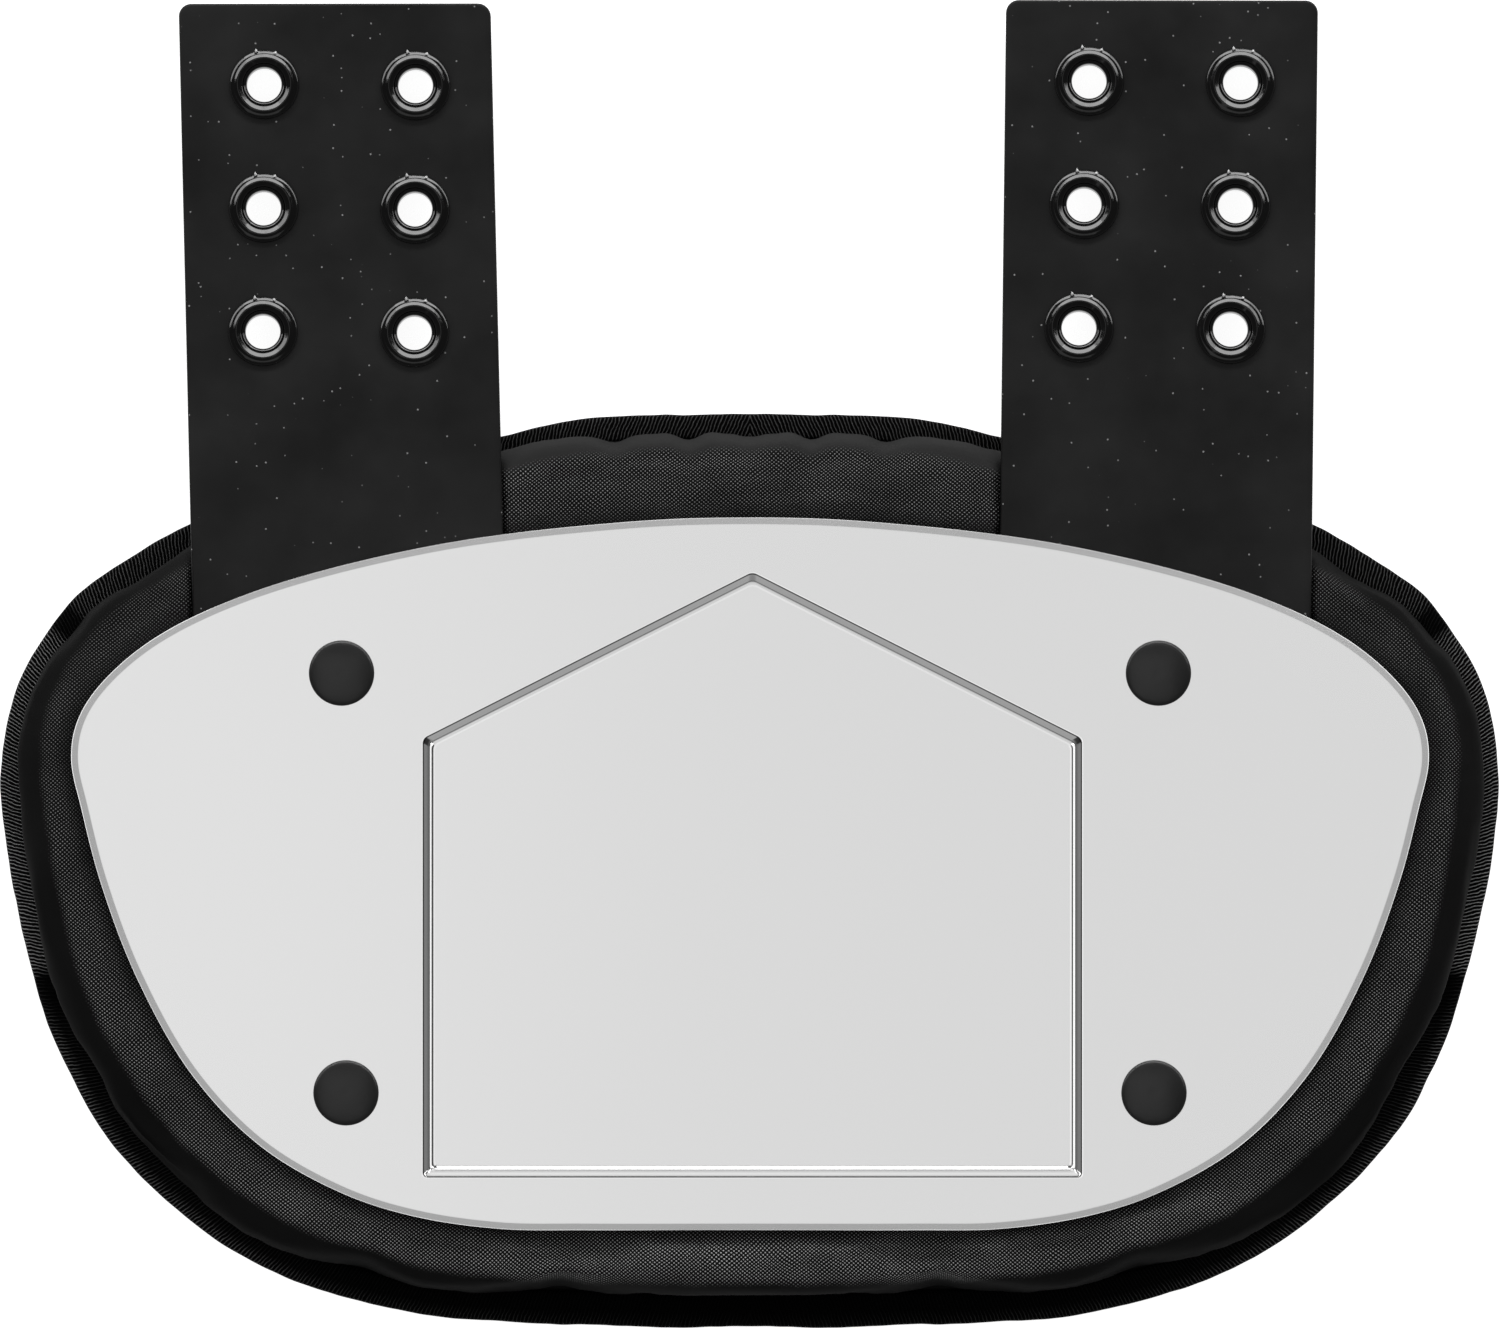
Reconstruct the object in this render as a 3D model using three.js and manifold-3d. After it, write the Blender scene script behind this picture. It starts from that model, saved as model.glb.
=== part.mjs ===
// Football back plate, lying on its back with the hard plate up.
// A polished plate is riveted over a foam pad with a bound edge. Two vinyl straps with eyelets come out
// from between the two, pass over the pad's upper border and carry the plate on a pair of shoulder pads.
// Lengths are in millimetres. +X runs across the back, +Y towards the free ends of the straps, +Z out of
// the plate. While it is built, y = 0 is the top edge of the pad. The last lines centre the whole on its
// footprint.
import * as THREE from "three";
import { mergeVertices } from "three/addons/utils/BufferGeometryUtils.js";
import Module from "manifold-3d";

// Clearance between pieces that touch on the real object
const GAP = 0.3;

// Pad and its bound edge
const PAD_WIDTH = 305.2;
const PAD_HEIGHT = 185.5;
const PAD_THICKNESS = 15;
const PUFF_RUN = 9;
const SEAM_THICKNESS = 1.2;
const TAPE_THICKNESS = 1;
const TAPE_SHOWS = 4.5;
const TAPE_UNDER_PUFF = 2;
const REAR_ROUNDING = 1.5;

// Plate, set inside the pad's outline by its borders
const BORDER_SIDE = 14.45;
const BORDER_TOP = 20.55;
const BORDER_BOTTOM = 19.4;
const PLATE_THICKNESS = 3;
const RIM_WIDTH = 1.4;
const RIM_DEPTH = 1.2;

// Sunk panel, set inside the plate by its margins
const PANEL_MARGIN_SIDE = 71.2;
const PANEL_MARGIN_TOP = 11.2;
const PANEL_MARGIN_BOTTOM = 11.4;
const PANEL_ROOF = 33.8;
const PANEL_DEPTH = 1.2;
const PANEL_WALL = 2.2;
const PANEL_CORNER = 1.2;
const PANEL_OFFSET = 0.5;

// Rivets, set out from the panel's sides and down from the plate's top
const RIVET_UPPER_BESIDE = 16.05;
const RIVET_LOWER_BESIDE = 15.15;
const RIVET_BELOW_TOP = 31.7;
const RIVET_ROW_PITCH = 85.3;
const RIVET_CAP_DIAMETER = 13.3;
const RIVET_CAP_HEIGHT = 1.6;
const RIVET_SHANK_DIAMETER = 5;
const RIVET_REAR_DIAMETER = 10;
const RIVET_REAR_HEIGHT = 1.2;
const PAD_COVER = 1.5;

// Straps, measured from the upper rivet that holds each one
const STRAP_WIDTH = 63.5;
const STRAP_THICKNESS = 2.5;
const STRAP_LEFT_REACH = 136.2;
const STRAP_RIGHT_REACH = 136.9;
const STRAP_LEFT_OFFSET = 1.7;
const STRAP_RIGHT_OFFSET = -0.8;
const STRAP_TAIL = 28;
const STRAP_CORNER = 2.4;
const STRAP_TAIL_CORNER = 6;
const STRAP_SIDE_GAP = 0.5;
const STRAP_DROOP = THREE.MathUtils.degToRad(4);
const BEND_INSIDE_EDGE = 9;
const BEND_STEPS = 4;

// Eyelets, two across and three along on each strap
const EYELET_COLUMNS = 2;
const EYELET_ROWS = 3;
const EYELET_PITCH_ACROSS = 30.8;
const EYELET_PITCH_ALONG = 25.2;
const EYELET_FROM_END = 16.7;
const EYELET_TO_BEND = 19;
const EYELET_HOLE = 7;
const EYELET_FLANGE = 14;
const EYELET_WALL = 0.8;
const EYELET_CREST = 1.5;
const WASHER_DIAMETER = 12.6;
const WASHER_THICKNESS = 0.9;

// Fineness of the round shapes
const OUTLINE_STATIONS = 96;
const RIVET_SIDES = 16;
const EYELET_SIDES = 14;
const CORNER_STEPS = 4;

// Right half of the pad's outline, from the middle of the top to the middle of the bottom. x is a share
// of half the width, down a share of the height, and tape the visible band of binding there as a share
// of TAPE_SHOWS.
const PAD_OUTLINE = [
  { x: 0.0, down: 0.0, tape: 1.0 },
  { x: 0.113, down: 0.001, tape: 0.85 },
  { x: 0.253, down: 0.008, tape: 0.88 },
  { x: 0.333, down: 0.022, tape: 0.72 },
  { x: 0.535, down: 0.057, tape: 0.8 },
  { x: 0.743, down: 0.116, tape: 0.9 },
  { x: 0.812, down: 0.147, tape: 0.9 },
  { x: 0.896, down: 0.194, tape: 0.8 },
  { x: 0.947, down: 0.247, tape: 0.78 },
  { x: 0.98, down: 0.3, tape: 0.75 },
  { x: 0.995, down: 0.352, tape: 0.74 },
  { x: 1.0, down: 0.405, tape: 0.8 },
  { x: 0.985, down: 0.51, tape: 0.88 },
  { x: 0.956, down: 0.615, tape: 0.97 },
  { x: 0.909, down: 0.721, tape: 1.1 },
  { x: 0.824, down: 0.826, tape: 1.16 },
  { x: 0.656, down: 0.931, tape: 1.04 },
  { x: 0.451, down: 0.984, tape: 1.04 },
  { x: 0.2, down: 0.998, tape: 1.15 },
  { x: 0.0, down: 1.0, tape: 1.2 },
];

// Right half of the plate's outline, read the same way against the plate's own width and height
const PLATE_OUTLINE = [
  { x: 0.0, down: 0.0 },
  { x: 0.178, down: 0.006 },
  { x: 0.467, down: 0.039 },
  { x: 0.738, down: 0.106 },
  { x: 0.884, down: 0.173 },
  { x: 0.963, down: 0.24 },
  { x: 0.993, down: 0.29 },
  { x: 1.0, down: 0.34 },
  { x: 0.985, down: 0.408 },
  { x: 0.957, down: 0.51 },
  { x: 0.904, down: 0.643 },
  { x: 0.823, down: 0.778 },
  { x: 0.722, down: 0.878 },
  { x: 0.602, down: 0.945 },
  { x: 0.498, down: 0.979 },
  { x: 0.371, down: 0.998 },
  { x: 0.24, down: 1.0 },
  { x: 0.0, down: 1.0 },
];

// The puffed border in section: run is measured inwards from the cover's outer edge as a share of
// PUFF_RUN, and rise upwards from the binding as a share of the height that is left to the pad's front.
const PUFF_SECTION = [
  { run: 0.1, rise: 0.05 },
  { run: 0.017, rise: 0.19 },
  { run: 0.0, rise: 0.36 },
  { run: 0.09, rise: 0.63 },
  { run: 0.31, rise: 0.85 },
  { run: 0.67, rise: 0.975 },
  { run: 1.0, rise: 1.0 },
];

// Places where the cover is drawn in at the seam: around is a share of the way from the middle of the
// top to the middle of the bottom, and depth and width are shares of PUFF_RUN.
const PUCKERS = [
  { around: 0.0, depth: 0.06, width: 0.5 },
  { around: 0.032, depth: 0.12, width: 0.6 },
  { around: 0.075, depth: 0.08, width: 0.5 },
  { around: 0.395, depth: 0.1, width: 0.8 },
  { around: 0.615, depth: 0.12, width: 0.8 },
  { around: 0.8, depth: 0.14, width: 0.9 },
  { around: 0.905, depth: 0.1, width: 0.9 },
];

// A rivet's cap in section, from its rim to its middle: out is a share of the cap's radius and up of its
// height
const CAP_SECTION = [
  { out: 1.0, up: 0.0 },
  { out: 1.0, up: 0.5 },
  { out: 0.92, up: 0.88 },
  { out: 0.0, up: 1.0 },
];

// An eyelet's domed flange in section, from its rim to the hole: out is a share of the way from the
// hole's edge to the rim, and up a share of the crest's height.
const FLANGE_SECTION = [
  { out: 1.0, up: 0.0 },
  { out: 0.87, up: 0.6 },
  { out: 0.6, up: 1.0 },
  { out: 0.0, up: 0.5 },
];

// The two straps as they lie: offset is the strap's middle against its rivet, and reach is how far its
// free end lies above the rivet. lean turns the whole strap, and endLean, rowLean and colLean turn
// its cut end and the punched rows and columns against it. Angles are in degrees, positive
// anticlockwise.
const STRAPS = [
  {
    side: "left",
    sign: -1,
    offset: STRAP_LEFT_OFFSET,
    reach: STRAP_LEFT_REACH,
    lean: 1.37,
    endLean: -1.3,
    rowLean: -1.8,
    colLean: -1.6,
  },
  {
    side: "right",
    sign: 1,
    offset: STRAP_RIGHT_OFFSET,
    reach: STRAP_RIGHT_REACH,
    lean: -0.7,
    endLean: 0.6,
    rowLean: 0.2,
    colLean: -1.7,
  },
];

// Sizes that follow from the ones above
const PLATE_WIDTH = PAD_WIDTH - 2 * BORDER_SIDE;
const PLATE_HEIGHT = PAD_HEIGHT - BORDER_TOP - BORDER_BOTTOM;
const PLATE_REAR = PAD_THICKNESS + GAP;
const PLATE_FRONT = PLATE_REAR + PLATE_THICKNESS;
const STRAP_FRONT = PAD_THICKNESS;
const STRAP_REAR = STRAP_FRONT - STRAP_THICKNESS;
const CHANNEL_FLOOR = STRAP_REAR - GAP;
const SEAM_REAR = TAPE_THICKNESS + GAP;
const SEAM_FRONT = SEAM_REAR + SEAM_THICKNESS;
const BINDING_THICKNESS = SEAM_FRONT + GAP + TAPE_THICKNESS;
const PANEL_HALF_WIDTH = PLATE_WIDTH / 2 - PANEL_MARGIN_SIDE;
const RIVET_UPPER_X = PANEL_HALF_WIDTH + RIVET_UPPER_BESIDE;
const RIVET_LOWER_X = PANEL_HALF_WIDTH + RIVET_LOWER_BESIDE;
const RIVET_UPPER_Y = -BORDER_TOP - RIVET_BELOW_TOP;
const RIVET_LOWER_Y = RIVET_UPPER_Y - RIVET_ROW_PITCH;

// Surface finishes of the real materials
const chrome = new THREE.MeshStandardMaterial({ color: 0xdadada, roughness: 0.12, metalness: 1 });
const coverFabric = new THREE.MeshStandardMaterial({ color: 0x2f2f2f, roughness: 0.85, metalness: 0 });
const tapeFabric = new THREE.MeshStandardMaterial({ color: 0x1a1a1a, roughness: 0.8, metalness: 0 });
const vinyl = new THREE.MeshStandardMaterial({ color: 0x212121, roughness: 0.45, metalness: 0 });
const enamel = new THREE.MeshStandardMaterial({ color: 0x101010, roughness: 0.25, metalness: 0.4 });
const capPlastic = new THREE.MeshStandardMaterial({ color: 0x2b2b2b, roughness: 0.5, metalness: 0 });

const wasm = await Module();
wasm.setup();

// A closed mesh as a solid that can be cut
function solidOf(geometry) {
  const bare = geometry.clone();
  bare.deleteAttribute("normal");
  bare.deleteAttribute("uv");
  const merged = mergeVertices(bare);
  const mesh = new wasm.Mesh({
    numProp: 3,
    vertProperties: merged.attributes.position.array,
    triVerts: new Uint32Array(merged.index.array),
  });
  return new wasm.Manifold(mesh);
}

function geometryOf(solid) {
  const mesh = solid.getMesh();
  const geometry = new THREE.BufferGeometry();
  geometry.setAttribute("position", new THREE.BufferAttribute(mesh.vertProperties, 3));
  geometry.setIndex(new THREE.BufferAttribute(mesh.triVerts, 1));
  geometry.computeVertexNormals();
  return geometry;
}

function cut(geometry, cutters) {
  const left = cutters.reduce((solid, cutter) => solid.subtract(solidOf(cutter)), solidOf(geometry));
  return geometryOf(left);
}

// A body through a stack of rings with equal counts of points, each anticlockwise seen from the front.
// The rings run from the rear outwards and round to the front. A stack that is no loop is closed by a
// flat face at each end.
function ringBody(rings, isLoop = false) {
  const count = rings[0].length;
  const positions = rings.flat().flatMap((point) => [point.x, point.y, point.z]);
  const index = [];
  const at = (ring, i) => (ring % rings.length) * count + (i % count);
  const bands = isLoop ? rings.length : rings.length - 1;
  for (let ring = 0; ring < bands; ring += 1) {
    for (let i = 0; i < count; i += 1) {
      index.push(at(ring, i), at(ring, i + 1), at(ring + 1, i + 1));
      index.push(at(ring, i), at(ring + 1, i + 1), at(ring + 1, i));
    }
  }
  if (!isLoop) {
    const last = rings.length - 1;
    const middles = [rings[0], rings[last]].map((ring) => {
      const sum = ring.reduce((total, point) => total.add(point), new THREE.Vector3());
      return sum.divideScalar(count);
    });
    const rear = positions.length / 3;
    const front = rear + 1;
    positions.push(...middles[0].toArray(), ...middles[1].toArray());
    for (let i = 0; i < count; i += 1) {
      index.push(rear, at(0, i + 1), at(0, i));
      index.push(front, at(last, i), at(last, i + 1));
    }
  }
  const geometry = new THREE.BufferGeometry();
  geometry.setAttribute("position", new THREE.Float32BufferAttribute(positions, 3));
  geometry.setIndex(index);
  geometry.computeVertexNormals();
  return geometry;
}

// Evenly spaced stations round a symmetric outline, each with its inward direction. The spline carries
// the visible band of binding in its third coordinate.
function stationsRound(table, width, height, top) {
  const right = table.map(({ x, down, tape = 0 }) => {
    return new THREE.Vector3((x * width) / 2, top - down * height, tape * TAPE_SHOWS);
  });
  const left = right.slice(1, -1).reverse().map(({ x, y, z }) => new THREE.Vector3(-x, y, z));
  const curve = new THREE.CatmullRomCurve3([...right, ...left], true, "centripetal");
  const points = curve.getSpacedPoints(OUTLINE_STATIONS).slice(0, OUTLINE_STATIONS).reverse();
  const halfway = OUTLINE_STATIONS / 2;
  return points.map((point, i) => {
    const ahead = points[(i + 1) % OUTLINE_STATIONS];
    const behind = points[(i + OUTLINE_STATIONS - 1) % OUTLINE_STATIONS];
    const tangent = new THREE.Vector2(ahead.x - behind.x, ahead.y - behind.y).normalize();
    const fromTop = Math.min(i + 1, OUTLINE_STATIONS - 1 - i);
    return {
      point,
      inward: new THREE.Vector2(-tangent.y, tangent.x),
      band: point.z,
      around: fromTop / halfway,
    };
  });
}

// The rings of a section that is carried round the stations: sectionAt gives each station's points as
// inset and z.
function ringsRound(stations, sectionAt) {
  const sections = stations.map(sectionAt);
  return sections[0].map((_, row) => {
    return stations.map(({ point, inward }, i) => {
      const { inset, z } = sections[i][row];
      return new THREE.Vector3(point.x + inward.x * inset, point.y + inward.y * inset, z);
    });
  });
}

const padStations = stationsRound(PAD_OUTLINE, PAD_WIDTH, PAD_HEIGHT, 0);
const plateStations = stationsRound(PLATE_OUTLINE, PLATE_WIDTH, PLATE_HEIGHT, -BORDER_TOP);
const halfOutline = padStations.reduce((sum, { point }, i) => {
  const next = padStations[(i + 1) % OUTLINE_STATIONS].point;
  return sum + Math.hypot(next.x - point.x, next.y - point.y) / 2;
}, 0);

// How far the cover is drawn in at a station
function drawnIn({ around }) {
  return PUCKERS.reduce((sum, pucker) => {
    const away = ((around - pucker.around) * halfOutline) / (pucker.width * PUFF_RUN);
    return sum + pucker.depth * PUFF_RUN * Math.exp(-away * away);
  }, 0);
}

// The cover in section: its flat rear, the thin seam flange inside the binding, and the puffed border
// above it
function padSection(station) {
  const legEnd = station.band + TAPE_UNDER_PUFF;
  const root = legEnd + GAP;
  const flangeEdge = TAPE_THICKNESS + GAP;
  const puffBase = BINDING_THICKNESS + GAP;
  const pucker = drawnIn(station);
  const puff = PUFF_SECTION.map(({ run, rise }) => ({
    inset: Math.min(station.band + pucker, legEnd) + run * PUFF_RUN,
    z: puffBase + rise * (PAD_THICKNESS - puffBase),
  }));
  return [
    { inset: root + REAR_ROUNDING, z: 0 },
    { inset: root, z: SEAM_REAR },
    { inset: flangeEdge, z: SEAM_REAR },
    { inset: flangeEdge, z: SEAM_FRONT },
    { inset: root, z: SEAM_FRONT },
    { inset: root, z: puffBase },
    ...puff,
  ];
}

// The binding in section: one strip of tape folded round the seam flange
function bindingSection(station) {
  const legEnd = station.band + TAPE_UNDER_PUFF;
  const fold = TAPE_THICKNESS / 2;
  return [
    { inset: legEnd, z: 0 },
    { inset: fold, z: 0 },
    { inset: 0, z: fold },
    { inset: 0, z: BINDING_THICKNESS - fold },
    { inset: fold, z: BINDING_THICKNESS },
    { inset: legEnd, z: BINDING_THICKNESS },
    { inset: legEnd, z: SEAM_FRONT + GAP },
    { inset: TAPE_THICKNESS, z: SEAM_FRONT + GAP },
    { inset: TAPE_THICKNESS, z: TAPE_THICKNESS },
    { inset: legEnd, z: TAPE_THICKNESS },
  ];
}

// An upright cylinder from low to high, for a hole or a recess
function upright(diameter, low, high, sides) {
  const geometry = new THREE.CylinderGeometry(diameter / 2, diameter / 2, high - low, sides);
  return geometry.rotateX(Math.PI / 2).translate(0, 0, (low + high) / 2);
}

const RIVETS = [
  { name: "rivet_upper_left", x: -RIVET_UPPER_X, y: RIVET_UPPER_Y, seat: CHANNEL_FLOOR },
  { name: "rivet_upper_right", x: RIVET_UPPER_X, y: RIVET_UPPER_Y, seat: CHANNEL_FLOOR },
  { name: "rivet_lower_left", x: -RIVET_LOWER_X, y: RIVET_LOWER_Y, seat: PAD_THICKNESS },
  { name: "rivet_lower_right", x: RIVET_LOWER_X, y: RIVET_LOWER_Y, seat: PAD_THICKNESS },
];

// A rivet: its cap on the plate, its shank, and its rear head under the pad's cover
function makeRivet({ name, x, y, seat }) {
  const cap = RIVET_CAP_DIAMETER / 2;
  const shank = RIVET_SHANK_DIAMETER / 2;
  const rear = RIVET_REAR_DIAMETER / 2;
  const capRear = PLATE_FRONT + GAP;
  const rearTop = seat - PAD_COVER - GAP;
  const profile = [
    [0, rearTop - RIVET_REAR_HEIGHT],
    [rear, rearTop - RIVET_REAR_HEIGHT],
    [rear, rearTop],
    [shank, rearTop],
    [shank, capRear],
    ...CAP_SECTION.map(({ out, up }) => [cap * out, capRear + RIVET_CAP_HEIGHT * up]),
  ].map(([radius, height]) => new THREE.Vector2(radius, height));
  const geometry = new THREE.LatheGeometry(profile, RIVET_SIDES).rotateX(Math.PI / 2);
  const mesh = new THREE.Mesh(geometry, capPlastic);
  mesh.name = name;
  mesh.position.set(x, y, 0);
  return mesh;
}

// The room that a rivet takes in the pad: its shank hole through the cover and the hollow for its rear head
function rivetRoom({ x, y, seat }) {
  const hollowTop = seat - PAD_COVER;
  const hollowFloor = hollowTop - RIVET_REAR_HEIGHT - 2 * GAP;
  const hole = upright(RIVET_SHANK_DIAMETER + 2 * GAP, hollowFloor, PLATE_FRONT, RIVET_SIDES);
  const hollow = upright(RIVET_REAR_DIAMETER + 2 * GAP, hollowFloor, hollowTop, RIVET_SIDES);
  return [hole.translate(x, y, 0), hollow.translate(x, y, 0)];
}

// A polygon drawn in evenly by an inset, with every corner rounded into the same count of points
function roundedPolygon(corners, inset, radius, z) {
  const count = corners.length;
  const edges = corners.map((corner, i) => {
    const next = corners[(i + 1) % count];
    const along = next.clone().sub(corner).normalize();
    const inward = new THREE.Vector2(-along.y, along.x);
    return { along, start: corner.clone().addScaledVector(inward, inset) };
  });
  const drawn = edges.map((edge, i) => {
    const before = edges[(i + count - 1) % count];
    const across = before.along.cross(edge.along);
    const away = edge.start.clone().sub(before.start).cross(edge.along) / across;
    return before.start.clone().addScaledVector(before.along, away);
  });
  return drawn.flatMap((corner, i) => {
    const before = edges[(i + count - 1) % count].along;
    const after = edges[i].along;
    const entry = corner.clone().addScaledVector(before, -radius);
    const exit = corner.clone().addScaledVector(after, radius);
    const arc = new THREE.QuadraticBezierCurve(entry, corner, exit);
    return arc.getPoints(CORNER_STEPS).map((point) => new THREE.Vector3(point.x, point.y, z));
  });
}

// The sunk five-sided panel as the body that is cut out of the plate: upright above the face, sloping
// below it
function panelRoom() {
  const bottom = -PAD_HEIGHT + BORDER_BOTTOM + PANEL_MARGIN_BOTTOM;
  const apex = -BORDER_TOP - PANEL_MARGIN_TOP;
  const shoulder = apex - PANEL_ROOF;
  const corners = [
    [-PANEL_HALF_WIDTH, bottom],
    [PANEL_HALF_WIDTH, bottom],
    [PANEL_HALF_WIDTH, shoulder],
    [0, apex],
    [-PANEL_HALF_WIDTH, shoulder],
  ].map(([x, y]) => new THREE.Vector2(x + PANEL_OFFSET, y));
  return ringBody([
    roundedPolygon(corners, PANEL_WALL, PANEL_CORNER / 2, PLATE_FRONT - PANEL_DEPTH),
    roundedPolygon(corners, 0, PANEL_CORNER, PLATE_FRONT),
    roundedPolygon(corners, 0, PANEL_CORNER, PLATE_FRONT + PANEL_DEPTH),
  ]);
}

// The plate: one thickness with a bevelled rim, the sunk panel and the rivet holes
function makePlate() {
  const rings = ringsRound(plateStations, () => [
    { inset: 0, z: PLATE_REAR },
    { inset: 0, z: PLATE_FRONT - RIM_DEPTH },
    { inset: RIM_WIDTH, z: PLATE_FRONT },
  ]);
  const holes = RIVETS.map(({ x, y }) => {
    const hole = upright(RIVET_SHANK_DIAMETER + 2 * GAP, PLATE_REAR - GAP, PLATE_FRONT + GAP, RIVET_SIDES);
    return hole.translate(x, y, 0);
  });
  const mesh = new THREE.Mesh(cut(ringBody(rings), [panelRoom(), ...holes]), chrome);
  mesh.name = "plate";
  return mesh;
}

// Where a strap runs, measured in its own frame from its rivet: level over the pad, a slight bend at the
// pad's edge, then straight and drooping to its free end
function strapRun({ sign, reach }) {
  const upperStations = padStations.filter(({ point }) => point.y > RIVET_UPPER_Y);
  const distance = ({ point }) => Math.abs(point.x - sign * RIVET_UPPER_X);
  const edge = upperStations.reduce((best, station) => (distance(station) < distance(best) ? station : best));
  const bendStart = edge.point.y - RIVET_UPPER_Y - BEND_INSIDE_EDGE;
  const eyeletsLength = EYELET_FROM_END + (EYELET_ROWS - 1) * EYELET_PITCH_ALONG;
  const bendEnd = Math.max(reach - eyeletsLength - EYELET_TO_BEND, bendStart + STRAP_THICKNESS);
  const bendRadius = (bendEnd - bendStart) / Math.sin(STRAP_DROOP);
  return { bendStart, bendEnd, bendRadius, drop: bendRadius * (1 - Math.cos(STRAP_DROOP)) };
}

// The straight stretch that carries the eyelets, with its origin on the strap's middle plane where the
// bend ends
function eyeletField(row) {
  const run = strapRun(row);
  const field = new THREE.Group();
  field.position.set(0, run.bendEnd, (STRAP_FRONT + STRAP_REAR) / 2 - run.drop);
  field.rotation.x = -STRAP_DROOP;
  field.updateMatrix();
  return field;
}

// The middles of the eyelets on the straight stretch, the row at the free end first
function eyeletPlaces(row) {
  const run = strapRun(row);
  const end = (row.reach - run.bendEnd) / Math.cos(STRAP_DROOP);
  const rowLean = THREE.MathUtils.degToRad(row.rowLean);
  const columnLean = THREE.MathUtils.degToRad(row.colLean);
  const middleRow = (EYELET_ROWS - 1) / 2;
  const middleColumn = (EYELET_COLUMNS - 1) / 2;
  const places = [];
  for (let r = 0; r < EYELET_ROWS; r += 1) {
    for (let c = 0; c < EYELET_COLUMNS; c += 1) {
      const across = (c - middleColumn) * EYELET_PITCH_ACROSS;
      const along = (middleRow - r) * EYELET_PITCH_ALONG;
      const middle = end - EYELET_FROM_END - middleRow * EYELET_PITCH_ALONG;
      const x = row.offset + across * Math.cos(rowLean) - along * Math.sin(columnLean);
      const y = middle + across * Math.sin(rowLean) + along * Math.cos(columnLean);
      places.push(new THREE.Vector2(x, y));
    }
  }
  return places;
}

// The strap's side view, extruded across its width
function strapSide(row) {
  const run = strapRun(row);
  const middle = (STRAP_FRONT + STRAP_REAR) / 2;
  const path = [{ y: -STRAP_TAIL, z: middle, slope: 0 }];
  for (let step = 0; step <= BEND_STEPS; step += 1) {
    const slope = (STRAP_DROOP * step) / BEND_STEPS;
    path.push({
      y: run.bendStart + run.bendRadius * Math.sin(slope),
      z: middle - run.bendRadius * (1 - Math.cos(slope)),
      slope,
    });
  }
  const beyond = row.reach + STRAP_THICKNESS;
  path.push({
    y: beyond,
    z: middle - run.drop - (beyond - run.bendEnd) * Math.tan(STRAP_DROOP),
    slope: STRAP_DROOP,
  });
  const edge = (half) => path.map(({ y, z, slope }) => {
    return new THREE.Vector2(y + half * Math.sin(slope), z + half * Math.cos(slope));
  });
  const shape = new THREE.Shape([...edge(-STRAP_THICKNESS / 2), ...edge(STRAP_THICKNESS / 2).reverse()]);
  const width = STRAP_WIDTH + 2 * STRAP_THICKNESS;
  const geometry = new THREE.ExtrudeGeometry(shape, { depth: width, bevelEnabled: false, steps: 1 });
  const turn = new THREE.Matrix4().makeBasis(
    new THREE.Vector3(0, 1, 0),
    new THREE.Vector3(0, 0, 1),
    new THREE.Vector3(1, 0, 0),
  );
  return geometry.applyMatrix4(turn).translate(row.offset - width / 2, 0, 0);
}

// The strap's plan with its rounded corners, as an upright body that trims the side view
function strapPlan(row) {
  const left = row.offset - STRAP_WIDTH / 2;
  const right = row.offset + STRAP_WIDTH / 2;
  const endSlope = Math.tan(THREE.MathUtils.degToRad(row.endLean));
  const endAt = (x) => row.reach + (x - row.offset) * endSlope;
  const shape = new THREE.Shape();
  shape.moveTo(left + STRAP_TAIL_CORNER, -STRAP_TAIL);
  shape.lineTo(right - STRAP_TAIL_CORNER, -STRAP_TAIL);
  shape.quadraticCurveTo(right, -STRAP_TAIL, right, -STRAP_TAIL + STRAP_TAIL_CORNER);
  shape.lineTo(right, endAt(right) - STRAP_CORNER);
  shape.quadraticCurveTo(right, endAt(right), right - STRAP_CORNER, endAt(right - STRAP_CORNER));
  shape.lineTo(left + STRAP_CORNER, endAt(left + STRAP_CORNER));
  shape.quadraticCurveTo(left, endAt(left), left, endAt(left) - STRAP_CORNER);
  shape.lineTo(left, -STRAP_TAIL + STRAP_TAIL_CORNER);
  shape.quadraticCurveTo(left, -STRAP_TAIL, left + STRAP_TAIL_CORNER, -STRAP_TAIL);
  const options = { depth: 2 * PLATE_FRONT, bevelEnabled: false, steps: 1, curveSegments: CORNER_STEPS };
  return new THREE.ExtrudeGeometry(shape, options).translate(0, 0, -PLATE_FRONT / 2);
}

// Where a strap lies on the pad: its frame has its origin on the upper rivet's axis
function strapFrame({ sign, lean }) {
  const frame = new THREE.Group();
  frame.position.set(sign * RIVET_UPPER_X, RIVET_UPPER_Y, 0);
  frame.rotation.z = THREE.MathUtils.degToRad(lean);
  frame.updateMatrix();
  return frame;
}

// The channel that a strap presses into the pad's front
function strapChannel(row) {
  const width = STRAP_WIDTH + 2 * STRAP_SIDE_GAP;
  const start = -STRAP_TAIL - STRAP_SIDE_GAP;
  const box = new THREE.BoxGeometry(width, row.reach - start, STRAP_THICKNESS + 2 * GAP);
  box.translate(row.offset, (row.reach + start) / 2, CHANNEL_FLOOR + STRAP_THICKNESS / 2 + GAP);
  return box.applyMatrix4(strapFrame(row).matrix);
}

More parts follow.
